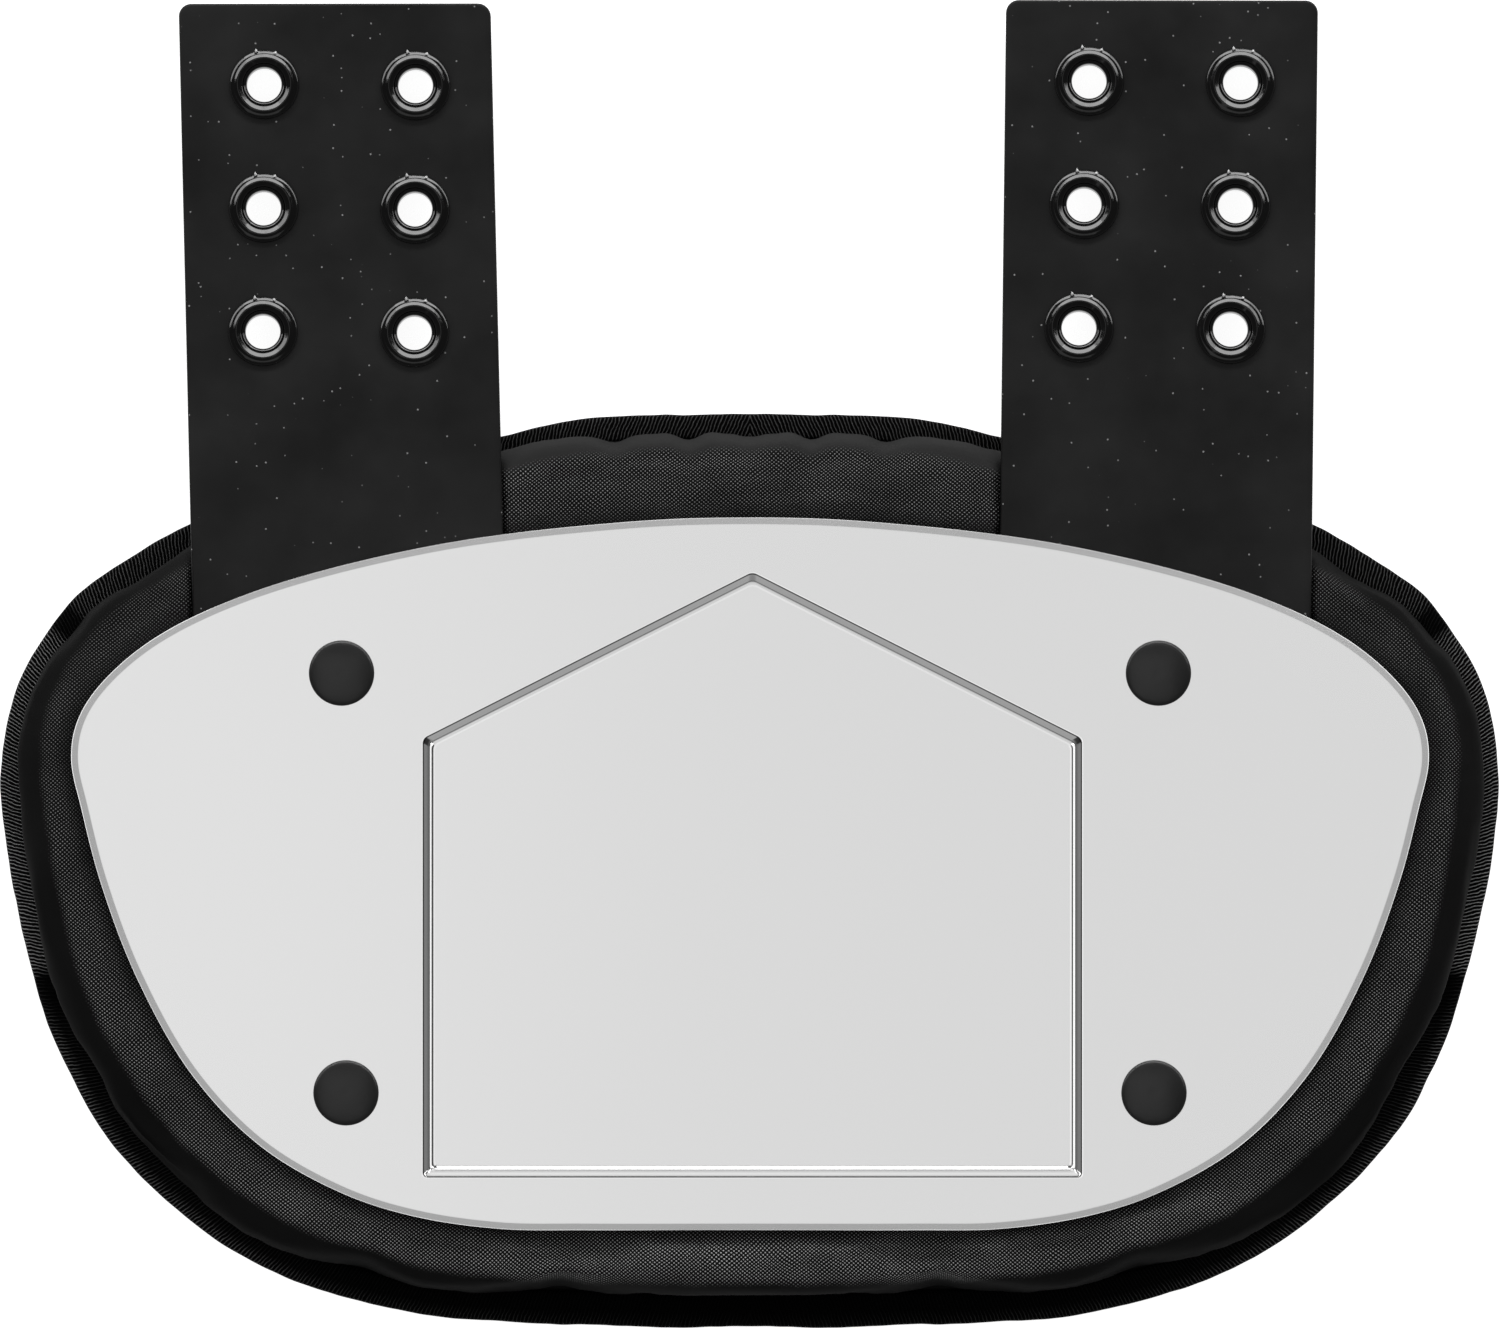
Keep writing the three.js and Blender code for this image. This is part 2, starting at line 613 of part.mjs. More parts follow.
function makeStrap(row) {
  const field = eyeletField(row);
  const holeDiameter = EYELET_HOLE + 2 * (EYELET_WALL + GAP);
  const holes = eyeletPlaces(row).map(({ x, y }) => {
    const hole = upright(holeDiameter, -STRAP_THICKNESS, STRAP_THICKNESS, EYELET_SIDES);
    return hole.translate(x, y, 0).applyMatrix4(field.matrix);
  });
  const rivetHole = upright(RIVET_SHANK_DIAMETER + 2 * GAP, CHANNEL_FLOOR, PLATE_REAR, RIVET_SIDES);
  const blank = geometryOf(solidOf(strapSide(row)).intersect(solidOf(strapPlan(row))));
  const mesh = new THREE.Mesh(cut(blank, [rivetHole, ...holes]), vinyl);
  mesh.name = `strap_${row.side}`;
  return mesh;
}

// An eyelet in section: its domed front flange, its barrel through the strap and its rear washer
function eyeletGeometry() {
  const hole = EYELET_HOLE / 2;
  const barrel = hole + EYELET_WALL;
  const flange = EYELET_FLANGE / 2;
  const washer = WASHER_DIAMETER / 2;
  const front = STRAP_THICKNESS / 2 + GAP;
  const profile = [
    [hole, -front - WASHER_THICKNESS],
    [washer, -front - WASHER_THICKNESS],
    [washer, -front],
    [barrel, -front],
    [barrel, front],
    ...FLANGE_SECTION.map(({ out, up }) => [hole + (flange - hole) * out, front + EYELET_CREST * up]),
    [hole, -front - WASHER_THICKNESS],
  ].map(([radius, height]) => new THREE.Vector2(radius, height));
  return new THREE.LatheGeometry(profile, EYELET_SIDES).rotateX(Math.PI / 2);
}

// A strap with its eyelets, in the strap's own frame
function makeStrapGroup(row) {
  const frame = strapFrame(row);
  const field = eyeletField(row);
  eyeletPlaces(row).forEach(({ x, y }, i) => {
    const eyelet = new THREE.Mesh(eyeletGeometry(), enamel);
    eyelet.name = `eyelet_${row.side}_${i + 1}`;
    eyelet.position.set(x, y, 0);
    field.add(eyelet);
  });
  frame.add(makeStrap(row), field);
  return frame;
}

function makePad() {
  const cushion = ringBody(ringsRound(padStations, padSection));
  const channels = STRAPS.map(strapChannel);
  const mesh = new THREE.Mesh(cut(cushion, [...channels, ...RIVETS.flatMap(rivetRoom)]), coverFabric);
  mesh.name = "pad";
  return mesh;
}

function makeBinding() {
  const mesh = new THREE.Mesh(ringBody(ringsRound(padStations, bindingSection), true), tapeFabric);
  mesh.name = "edge_binding";
  return mesh;
}

const backPlate = new THREE.Group();
backPlate.add(makePad(), makeBinding(), makePlate(), ...STRAPS.map(makeStrapGroup), ...RIVETS.map(makeRivet));

// The footprint's middle goes to x = 0, y = 0, and the pad's rear stays on z = 0
const footprint = new THREE.Box3().setFromObject(backPlate, true);
backPlate.position.y = -(footprint.min.y + footprint.max.y) / 2;
backPlate.position.x = -(footprint.min.x + footprint.max.x) / 2;

export default backPlate;
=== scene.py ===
# %% [markdown]
# # A football back plate, dressed for its portrait
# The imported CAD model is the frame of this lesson. Its solids have the right sizes and places, but they are
# plain and faceted. Here each one gets a finer piece in its place: a polished plate, a puffed and woven pad
# cover, a ribbed edge tape, two vinyl straps, twelve eyelets and four rivets.
# Lengths are worked out in millimetres and turned to metres when a piece is finished.

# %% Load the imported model
import math
from collections import namedtuple

import bmesh
import bpy
from mathutils import Matrix, Vector, kdtree, noise
from mathutils.geometry import interpolate_bezier


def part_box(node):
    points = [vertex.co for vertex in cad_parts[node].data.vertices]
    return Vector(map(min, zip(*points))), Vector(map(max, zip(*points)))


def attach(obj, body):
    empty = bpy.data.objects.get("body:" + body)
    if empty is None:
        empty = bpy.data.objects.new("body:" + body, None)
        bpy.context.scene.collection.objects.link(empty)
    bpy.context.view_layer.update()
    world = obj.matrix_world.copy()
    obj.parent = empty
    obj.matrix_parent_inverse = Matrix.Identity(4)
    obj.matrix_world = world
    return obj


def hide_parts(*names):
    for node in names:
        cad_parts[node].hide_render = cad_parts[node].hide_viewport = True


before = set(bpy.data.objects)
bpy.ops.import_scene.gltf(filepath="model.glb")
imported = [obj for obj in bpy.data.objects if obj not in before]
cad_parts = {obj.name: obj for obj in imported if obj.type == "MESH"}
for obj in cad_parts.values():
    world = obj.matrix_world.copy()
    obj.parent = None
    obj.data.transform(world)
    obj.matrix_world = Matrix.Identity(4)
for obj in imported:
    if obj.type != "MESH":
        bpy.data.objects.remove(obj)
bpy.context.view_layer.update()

MM = 0.001

# %% [markdown]
# ## Camera
# The photograph looks straight down on the back plate, with next to no perspective. A very long lens far
# away gives that. An orthographic camera would too, but a lens keeps the other views natural.
# The distance follows from the width that the photograph takes in at half the object's height.

# %% Point the camera straight down
VIEW_WIDTH = 305.25
VIEW_HEIGHT_ABOVE_FLOOR = 9.0

lens = bpy.data.cameras.new("camera")
lens.lens = 800
lens.sensor_width = 36
camera = bpy.data.objects.new("camera", lens)
camera.location.z = (VIEW_HEIGHT_ABOVE_FLOOR + VIEW_WIDTH * lens.lens / lens.sensor_width) * MM
bpy.context.scene.collection.objects.link(camera)
bpy.context.scene.camera = camera
print("camera stands", round(camera.location.z, 3), "m up")

# %% [markdown]
# ## Colours and nodes
# Colours are picked as sRGB hex values, as a paint program shows them. Shaders work in linear light, so one
# function turns them. Another adds a node with its settings and its links, and the rest of the helpers
# write the few kinds of node that every material uses.

# %% Helpers for materials
def linear(hex_value):
    shares = [int(hex_value[i : i + 2], 16) / 255 for i in (1, 3, 5)]
    return (*[s / 12.92 if s <= 0.04045 else ((s + 0.055) / 1.055) ** 2.4 for s in shares], 1.0)


def add(tree, kind, wires=None, **settings):
    """A new node. wires gives a socket a value, another node's output as (node, output), or a node alone,
    which stands for its first output."""
    node = tree.nodes.new(kind)
    for name, value in settings.items():
        setattr(node, name, value)
    for socket, source in (wires or {}).items():
        if hasattr(source, "outputs"):
            source = (source, 0)
        if isinstance(source, tuple) and hasattr(source[0], "outputs"):
            tree.links.new(source[0].outputs[source[1]], node.inputs[socket])
        else:
            node.inputs[socket].default_value = source
    return node


def new_material(name):
    """A named material with nothing in its tree but the output."""
    material = bpy.data.materials.new(name)
    material.use_nodes = True
    tree = material.node_tree
    for node in list(tree.nodes):
        if node.type != "OUTPUT_MATERIAL":
            tree.nodes.remove(node)
    output = next(node for node in tree.nodes if node.type == "OUTPUT_MATERIAL")
    return material, tree, output


def ramp(tree, share, *stops):
    """Turns a share into colours. Stops are (share, hex)."""
    node = add(tree, "ShaderNodeValToRGB", {"Fac": share})
    band = node.color_ramp
    while len(band.elements) < len(stops):
        band.elements.new(0.5)
    for element, (place, hex_value) in zip(band.elements, stops):
        element.position = place
        element.color = linear(hex_value)
    return node


def stored(tree, name):
    """Reads what store() keeps with a piece."""
    return add(tree, "ShaderNodeAttribute", attribute_name=name)


def maths(tree, operation, *inputs, **settings):
    """A math node. Its inputs are numbers or other nodes' outputs, in order."""
    return add(tree, "ShaderNodeMath", dict(enumerate(inputs)), operation=operation, **settings)


def blotches(tree, spot, scale, detail, roughness=0.5):
    """A noise texture at the coordinates that spot, a (node, output), gives."""
    wires = {"Vector": spot, "Scale": scale, "Detail": detail, "Roughness": roughness}
    return add(tree, "ShaderNodeTexNoise", wires)


def remap(tree, value, start, stop, to_start=0.0, to_stop=1.0, **settings):
    """Turns values from start to stop into values from to_start to to_stop."""
    wires = {"Value": value, "From Min": start, "From Max": stop, "To Min": to_start, "To Max": to_stop}
    return add(tree, "ShaderNodeMapRange", wires, **settings)


def bump(tree, height, strength, distance):
    """Relief without geometry. distance is the height of a full step in metres."""
    return add(tree, "ShaderNodeBump", {"Height": height, "Strength": strength, "Distance": distance})


def mixed(tree, share, first, second):
    """A mix of two colours, to be read from its output number 2."""
    return add(tree, "ShaderNodeMix", {"Factor": share, 6: first, 7: second}, data_type="RGBA")


def coat(tree, out, wires):
    """Gives a material its one shader."""
    shader = add(tree, "ShaderNodeBsdfPrincipled", wires)
    tree.links.new(shader.outputs["BSDF"], out.inputs["Surface"])

# %% [markdown]
# ## Light
# The real picture was taken in a white tent: one broad, soft light above, and a brighter one past the top
# edge that puts the arcs on the eyelets. Polished metal shows nothing but its surroundings, so the lights
# are large, and the sky is darker low down, which draws the plate's bevels.

# %% Softboxes and sky
def softbox(name, place, width, depth, brightness):
    """A rectangular light in metres, level overhead and aimed at the object when it stands past the top.
    brightness is how white it looks in a mirror."""
    light = bpy.data.lights.new(name, "AREA")
    light.shape = "RECTANGLE"
    light.size, light.size_y = width, depth
    light.energy = brightness * width * depth * math.pi
    lamp = bpy.data.objects.new(name, light)
    lamp.location = place
    if place[1] > 1:
        lamp.rotation_euler = (-Vector(place)).to_track_quat("-Z", "Y").to_euler()
    lamp.visible_camera = False
    bpy.context.scene.collection.objects.link(lamp)


softbox("light_overhead", (-0.25, -0.3, 2.0), 2.2, 2.4, 0.79)
softbox("light_overhead_left", (-0.86, -0.1, 2.05), 1.6, 1.8, 0.11)
softbox("light_past_the_top", (0.0, 1.9, 1.12), 2.6, 0.46, 12.0)
for side in (-1, 1):
    softbox(f"light_past_the_corner_{side + 1}", (side * 1.75, 1.25, 1.15), 1.5, 0.4, 8.0)

sky = bpy.data.worlds.new("tent")
sky.use_nodes = True
bpy.context.scene.world = sky
sky_tree = sky.node_tree
sky_tree.nodes.clear()
direction = add(sky_tree, "ShaderNodeTexCoord")
height = add(sky_tree, "ShaderNodeSeparateXYZ", {"Vector": (direction, "Generated")})
sky_tones = ramp(
    sky_tree, (height, "Z"),
    (0.0, "#C6C6C6"), (0.21, "#C6C6C6"), (0.28, "#949494"), (0.5, "#707070"), (0.75, "#707070"),
)
background = add(sky_tree, "ShaderNodeBackground", {"Color": sky_tones, "Strength": 1.0})
add(sky_tree, "ShaderNodeOutputWorld", {"Surface": background})
bpy.context.scene.view_settings.view_transform = "Standard"

# %% [markdown]
# ## Floor
# A plain sheet of white paper under the object. It glows a little, as the floor of a light tent does, so
# that it comes out nearly white without burning out the plate.

# %% Lay the floor
def as_object(mesh, name):
    """Turns a bmesh into an object in the scene."""
    data = bpy.data.meshes.new(name)
    mesh.to_mesh(data)
    mesh.free()
    thing = bpy.data.objects.new(name, data)
    bpy.context.scene.collection.objects.link(thing)
    return thing


paper, paper_tree, paper_out = new_material("white_paper")
coat(paper_tree, paper_out, {
    "Base Color": linear("#BCBCBC"), "Roughness": 0.9, "Specular IOR Level": 0.1,
    "Emission Color": linear("#FFFFFF"), "Emission Strength": 0.9,
})

floor_mesh = bmesh.new()
bmesh.ops.create_circle(floor_mesh, cap_ends=True, segments=64, radius=40)
floor = as_object(floor_mesh, "floor")
floor.location.z = -0.0002
floor.data.materials.append(paper)

# %% [markdown]
# ## Outlines
# The pad and the plate are each drawn as half an outline: a few points from the middle of the top
# round to the middle of the bottom. x is a share of half the width, and down a share of the height. A
# centripetal Catmull-Rom curve passes through every point without overshooting, which is why it is used
# here and not a B-spline. The curve is cut into stations of even length.

# %% The two half outlines
# The pad's third number is how much of the tape shows there, as a share of TAPE_SHOWS
PAD_OUTLINE = [
    (0.0, -0.003, 0.74), (0.113, -0.002, 0.67), (0.253, 0.006, 0.7), (0.333, 0.022, 0.68),
    (0.535, 0.057, 0.8), (0.743, 0.116, 0.9), (0.812, 0.147, 0.9), (0.896, 0.194, 0.8), (0.947, 0.247, 0.78),
    (0.98, 0.3, 0.75),
    (0.995, 0.352, 0.74), (1.0, 0.405, 0.8), (0.985, 0.51, 0.75), (0.956, 0.615, 0.76), (0.909, 0.721, 0.98),
    (0.824, 0.826, 1.1), (0.656, 0.931, 1.04), (0.451, 0.984, 1.04), (0.2, 0.998, 1.15), (0.0, 1.0, 1.2),
]
PLATE_OUTLINE = [
    (0.0, 0.0), (0.178, 0.006), (0.467, 0.039), (0.738, 0.106), (0.884, 0.173), (0.963, 0.24), (0.993, 0.29),
    (1.0, 0.34), (0.985, 0.408), (0.957, 0.51), (0.904, 0.643), (0.823, 0.778), (0.722, 0.878),
    (0.602, 0.944), (0.498, 0.976), (0.371, 0.994), (0.24, 0.996), (0.0, 0.996),
]
TAPE_SHOWS = 4.5
STATIONS, CUTS = 720, 30
# band is how much tape shows in millimetres. around runs from 0 at the middle of the top to 1 at the middle
# of the bottom on both sides, and along is the same in millimetres.
Station = namedtuple("Station", "x y inward band around along")


def box_mm(node):
    """A CAD node's lowest and highest corner in millimetres."""
    return [Vector(corner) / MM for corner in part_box(node)]


def curve_between(before, start, end, after, t):
    """A point of the Catmull-Rom curve from start (t 0) to end (t 1)."""
    a, b, c = [max((q - p).length, 1e-4) ** 0.5 for p, q in ((before, start), (start, end), (end, after))]
    leave = ((start - before) / a - (end - before) / (a + b) + (end - start) / b) * b
    arrive = ((end - start) / b - (after - start) / (b + c) + (after - end) / c) * b
    return (
        start * (2 * t**3 - 3 * t**2 + 1) + leave * (t**3 - 2 * t**2 + t)
        + end * (3 * t**2 - 2 * t**3) + arrive * (t**3 - t**2)
    )


def outline(table, node, count, reach):
    """Evenly spaced stations round a node. Their inward direction is taken over reach stations each way."""
    low, high = box_mm(node)
    half, tall, middle = (high.x - low.x) / 2, high.y - low.y, (high.x + low.x) / 2
    right = []
    for x, down, *tape in table:
        shows = (tape[0] if tape else 0) * TAPE_SHOWS
        right.append(Vector((x * half, high.y - down * tall, shows)))
    corners = right + [Vector((-p.x, p.y, p.z)) for p in reversed(right[1:-1])]
    n, fine = len(corners), []
    for i in range(n):
        four = [corners[(i + k) % n] for k in (-1, 0, 1, 2)]
        fine += [curve_between(*four, step / CUTS) for step in range(CUTS)]
    fine.append(fine[0].copy())
    run = [0.0]
    for p, q in zip(fine, fine[1:]):
        run.append(run[-1] + (q - p).length)
    points, k = [], 0
    for i in range(count):
        want = run[-1] * i / count
        while run[k + 1] < want:
            k += 1
        points.append(fine[k].lerp(fine[k + 1], (want - run[k]) / (run[k + 1] - run[k])))
    points = [points[-i] for i in range(count)]
    stations = []
    for i, p in enumerate(points):
        tangent = points[(i + reach) % count] - points[i - reach]
        inward = Vector((-tangent.y, tangent.x)).normalized()
        around = min(i, count - i) * 2 / count
        stations.append(Station(p.x + middle, p.y, inward, p.z, around, around * run[-1] / 2))
    return stations


pad_line = outline(PAD_OUTLINE, "edge_binding", STATIONS, reach=14)
plate_line = outline(PLATE_OUTLINE, "plate", STATIONS, reach=2)
HALF_WAY = max(s.along for s in pad_line)
print("half way round the pad is", round(HALF_WAY, 1), "mm")

# %% [markdown]
# ## Rings
# The pad, its tape and the plate's rim are all rings that follow an outline. Each starts as a circle that
# is pulled onto the outline, and its edges are extruded ring by ring. Every vertex remembers the station
# that it belongs to in a layer of its own, and an extrusion copies that layer along.

# %% Loft a section round an outline
def loft(mesh, stations, rows):
    """Extrudes a circle through rows. A row gives each station its inset and height in millimetres."""
    layers = mesh.verts.layers.int
    which, line = (layers.get(name) or layers.new(name) for name in ("station", "row"))
    ring = bmesh.ops.create_circle(mesh, segments=len(stations), radius=1)["verts"]
    for i, vertex in enumerate(ring):
        vertex[which] = i
    first = edges = list({edge for vertex in ring for edge in vertex.link_edges})
    for number, row in enumerate(rows):
        if number:
            grown = bmesh.ops.extrude_edge_only(mesh, edges=edges)["geom"]
            ring = [part for part in grown if isinstance(part, bmesh.types.BMVert)]
            kept = set(ring)
            edges = [
                part for part in grown
                if isinstance(part, bmesh.types.BMEdge) and set(part.verts) <= kept
            ]
        for vertex in ring:
            station = stations[vertex[which]]
            inset, z = row(station)
            vertex.co = (station.x + station.inward.x * inset, station.y + station.inward.y * inset, z)
            vertex[line] = number
    return first, edges


def finish(mesh, name, material, nodes, crease=30):
    """Turns a mesh in millimetres into a finished piece that stands for CAD nodes."""
    bmesh.ops.recalc_face_normals(mesh, faces=mesh.faces)
    bmesh.ops.scale(mesh, vec=(MM, MM, MM), verts=mesh.verts)
    piece = as_object(mesh, name)
    piece.data.shade_smooth()
    if crease:
        piece.data.set_sharp_from_angle(angle=math.radians(crease))
    piece.data.materials.append(material)
    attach(piece, "root")
    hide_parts(*nodes)
    print(name, "has", len(piece.data.polygons), "faces")
    return piece


def store(piece, name, values):
    """Keeps one number or one vector for each vertex of a piece, for its material to read."""
    attributes = piece.data.attributes
    if isinstance(values[0], float):
        attributes.new(name, "FLOAT", "POINT").data.foreach_set("value", values)
    else:
        parts = [part for each in values for part in each]
        attributes.new(name, "FLOAT_VECTOR", "POINT").data.foreach_set("vector", parts)

# %% [markdown]
# ## Plate: polished chrome
# The real plate is moulded, then metallised to a mirror finish and lacquered. It shows the tent above it
# as an even light grey, a touch uneven because a moulding is never dead flat. Metal keeps the default IOR.
# Roughness is low, and a slow noise moves it a little so that the grey clouds softly.

# %% Chrome material
chrome, tree, out = new_material("metallised_chrome")
place = add(tree, "ShaderNodeTexCoord")
clouds = blotches(tree, (place, "Object"), 14.0, 2.0)
hazes = remap(tree, (clouds, "Fac"), 0.0, 1.0, 0.13, 0.18)
# Orange peel of the lacquer, drawn 8 mm wide: the real one is finer but would only show as noise
peel = blotches(tree, (place, "Object"), 120.0, 1.0)
dents = bump(tree, (peel, "Fac"), 0.006, 0.0005)
# Painted highlights brighten the plate's edges, and painted shade draws dark lines in the panel's wall and
# darkens its corners, through the base colour
painted_highlight_and_shade = stored(tree, "painted_highlight_and_shade")
painted_light_share = remap(tree, (painted_highlight_and_shade, "Fac"), -2.0, 1.0)
silver_and_painted_light = ramp(
    tree, painted_light_share,
    (0.0, "#181818"), (0.333, "#6E6E6E"), (0.667, "#DCDCDC"), (1.0, "#FFFFFF"),
)
coat(tree, out, {
    "Base Color": silver_and_painted_light, "Metallic": 1.0, "Roughness": hazes,
    "Normal": dents,
})

# %% [markdown]
# ### The plate's body
# The rim is lofted round the outline: an upright edge, then a bevel 1.4 mm wide. Thin flat rings beside
# each bend keep the bend's soft shading off the mirror face. The sunk panel's wall is lofted in the same way
# round a five-sided loop with rounded corners, which move along their mitres. Down the sides
# the wall has a small ledge, on the roof it is one slope, and along the bottom it is nearly flat between
# two steep lips, as the reflections in the photograph show.

# %% Rim, panel and face of the plate
PLATE_LOW, PLATE_HIGH = box_mm("plate")
FACE = PLATE_HIGH.z
REAR = PLATE_LOW.z
# The rim's section as (inset, height), from its rear edge up
RIM = [
    (0.3, REAR), (0.0, REAR + 0.25), (0.0, FACE - 1.32), (0.04, FACE - 1.2), (0.14, FACE - 1.09),
    (0.3, FACE - 0.96), (1.36, FACE - 0.05), (1.42, FACE), (1.7, FACE),
]
PANEL_HALF_WIDTH, PANEL_MIDDLE = 66.95, 0.5
PANEL_TOP, PANEL_BOTTOM = PLATE_HIGH.y - 11.2, PLATE_LOW.y + 11.4
PANEL_SHOULDER = PANEL_TOP - 33.8
SIDE, ROOF, BOTTOM = 0, 1, 2
WALL = [
    # inset, how deep at a side, on the roof and along the bottom, and how much painted highlight (above 0)
    # and painted shade (below 0) at each
    (-0.3, (0.0, 0.0, 0.0), (0.0, 0.0, 0.0)), (-0.12, (0.0, 0.0, 0.0), (0.9, 0.5, 0.5)),
    (0.0, (0.03, 0.03, 0.03), (-1.0, -1.0, -1.0)), (0.14, (0.14, 0.12, 0.16), (-1.0, -0.8, -1.0)),
    (0.28, (0.25, 0.24, 0.33), (-0.2, -0.1, -0.3)), (0.7, (0.56, 0.59, 0.39), (-0.1, -0.1, 0.3)),
    (1.22, (0.94, 1.02, 0.46), (-0.2, -0.1, -0.2)), (1.34, (1.0, 1.12, 0.49), (-1.0, -0.1, 0.4)),
    (1.44, (1.01, 1.18, 0.52), (1.0, -0.7, 0.4)), (1.74, (1.02, 1.19, 0.58), (1.0, -0.1, 0.0)),
    (1.86, (1.08, 1.18, 0.8), (-0.8, -0.2, -0.9)), (2.04, (1.18, 1.2, 1.1), (-0.5, 0.0, -1.0)),
    (2.2, (1.2, 1.2, 1.2), (0.6, 0.3, -0.3)), (2.5, (1.2, 1.2, 1.2), (0.0, 0.0, 0.0)),
]
# Painted highlight (above 0) and painted shade (below 0) on the rim, by row
RIM_PAINTED_LIGHT = {2: 0.4, 3: 0.8, 4: 0.3, 5: -0.08, 6: -0.08, 7: -0.08}
RIVETS = ["rivet_upper_left", "rivet_upper_right", "rivet_lower_left", "rivet_lower_right"]
# The last of these is the painted shade in the panel's corners where a side meets the roof
RIVET_BORE, ARC_POINTS, CORNER_SHADE = 2.8, 8, -1.2


def plan_middle(node):
    """The middle of a CAD node as seen from above, in millimetres."""
    low, high = box_mm(node)
    return (low.x + high.x) / 2, (low.y + high.y) / 2


def panel_stations(corners, kinds, radius):
    """Stations round a polygon with rounded corners. A corner's arc moves along its mitre as it is inset.
    Here a station's band is the kind of its side, and its around is how much painted shade darkens it."""
    stations = []
    for i, corner in enumerate(corners):
        before = (corner - corners[i - 1]).normalized()
        after = (corners[(i + 1) % len(corners)] - corner).normalized()
        mitre = Vector((-before.y, before.x)) + Vector((-after.y, after.x))
        mitre /= mitre.dot(Vector((-after.y, after.x)))
        enter, leave = corner - before * radius, corner + after * radius
        arc = interpolate_bezier(
            enter.to_3d(), enter.lerp(corner, 0.6).to_3d(),
            leave.lerp(corner, 0.6).to_3d(), leave.to_3d(), ARC_POINTS,
        )
        for k, point in enumerate(arc):
            kind = kinds[i - 1] if k < ARC_POINTS // 2 else kinds[i]
            # Painted shade is darkest where a side meets the roof
            shaded_corner = {kinds[i - 1], kinds[i]} == {SIDE, ROOF} and 1 < k < ARC_POINTS - 1
            painted_corner_shade = CORNER_SHADE if shaded_corner else 0.0
            stations.append(Station(point.x, point.y, mitre, kind, painted_corner_shade, 0.0))
    return stations


def circle_loop(mesh, x, y, z, radius, sides=24):
    turned = Matrix.Translation((x, y, z))
    ring = bmesh.ops.create_circle(mesh, segments=sides, radius=radius, matrix=turned)["verts"]
    return list({edge for vertex in ring for edge in vertex.link_edges})


PANEL_LEFT, PANEL_RIGHT = PANEL_MIDDLE - PANEL_HALF_WIDTH, PANEL_MIDDLE + PANEL_HALF_WIDTH
PANEL_CORNERS = [Vector(corner) for corner in (
    (PANEL_LEFT, PANEL_BOTTOM), (PANEL_RIGHT, PANEL_BOTTOM), (PANEL_RIGHT, PANEL_SHOULDER),
    (PANEL_MIDDLE, PANEL_TOP), (PANEL_LEFT, PANEL_SHOULDER),
)]
KIND_OF_SIDE = [BOTTOM, SIDE, ROOF, ROOF, SIDE]


plate = bmesh.new()
rear_edges, face_edges = loft(plate, plate_line, [lambda s, at=at: at for at in RIM])
body_verts = len(plate.verts)
panel_line = panel_stations(PANEL_CORNERS, KIND_OF_SIDE, 1.0)
wall_rows = [
    lambda s, inset=inset, depth=depth: (inset, FACE - depth[s.band]) for inset, depth, _ in WALL
]
panel_edges, floor_edges = loft(plate, panel_line, wall_rows)
bmesh.ops.contextual_create(plate, geom=floor_edges)
front_holes, rear_holes = [], []
for node in RIVETS:
    x, y = plan_middle(node)
    above, below = circle_loop(plate, x, y, FACE, RIVET_BORE), circle_loop(plate, x, y, REAR, RIVET_BORE)
    bmesh.ops.bridge_loops(plate, edges=above + below)
    front_holes += above
    rear_holes += below
bmesh.ops.triangle_fill(plate, use_beauty=True, edges=face_edges + panel_edges + front_holes)
bmesh.ops.triangle_fill(plate, use_beauty=True, edges=rear_edges + rear_holes)
which, line = plate.verts.layers.int["station"], plate.verts.layers.int["row"]
# Painted highlights and painted shade for each vertex: the rim's by row, the panel wall's by row and side,
# and painted shade in the corners where a side meets the roof
painted_light_at = []
for number, vertex in enumerate(plate.verts):
    painted_light_here = 0.0
    if number < body_verts:
        painted_light_here = RIM_PAINTED_LIGHT.get(vertex[line], 0.0)
    elif number < body_verts + len(panel_line) * len(WALL):
        station = panel_line[vertex[which]]
        painted_light_here = WALL[vertex[line]][2][station.band]
        if 2 < vertex[line] < 6:
            painted_light_here += station.around
    painted_light_at.append(painted_light_here)
polished = finish(plate, "polished_plate", chrome, ["plate"], crease=24)
store(polished, "painted_highlight_and_shade", painted_light_at)

# %% [markdown]
# ## Rivets: black satin caps
# Four domed caps of moulded nylon hold the plate, the straps and the pad together. A cap is a surface of
# revolution, so its section is drawn once and spun. The satin finish spreads the light above into a soft
# pool, and the gate of the mould leaves a faint dimple in the middle.

# %% Satin nylon material
nylon, tree, out = new_material("satin_black_nylon")
place = add(tree, "ShaderNodeTexCoord")
# Spark-eroded mould texture of about 0.4 mm, drawn 1 mm wide so that it shows as a fine bloom
grit = blotches(tree, (place, "Object"), 900.0, 2.0)
pits = bump(tree, (grit, "Fac"), 0.25, 0.0001)
haze = blotches(tree, (place, "Object"), 160.0, 3.0)
wear = remap(tree, (haze, "Fac"), 0.0, 1.0, 0.27, 0.36)
coat(tree, out, {
    "Base Color": linear("#161616"), "Roughness": wear, "Specular IOR Level": 0.3,
    "Normal": pits,
})

# %% Spin the rivets
def spun(profile, sides, matrix):
    """A closed surface of revolution from (radius, height) pairs, placed by matrix."""
    mesh = bmesh.new()
    verts = [mesh.verts.new((radius, 0, height)) for radius, height in profile]
    edges = [mesh.edges.new(pair) for pair in zip(verts, verts[1:])]
    if profile[0][0] > 0.01:
        edges.append(mesh.edges.new((verts[-1], verts[0])))
    bmesh.ops.spin(
        mesh, geom=verts + edges, axis=(0, 0, 1), cent=(0, 0, 0), angle=math.tau, steps=sides, use_merge=True
    )
    bmesh.ops.remove_doubles(mesh, verts=mesh.verts, dist=0.001)
    bmesh.ops.transform(mesh, matrix=matrix, verts=mesh.verts)
    return mesh


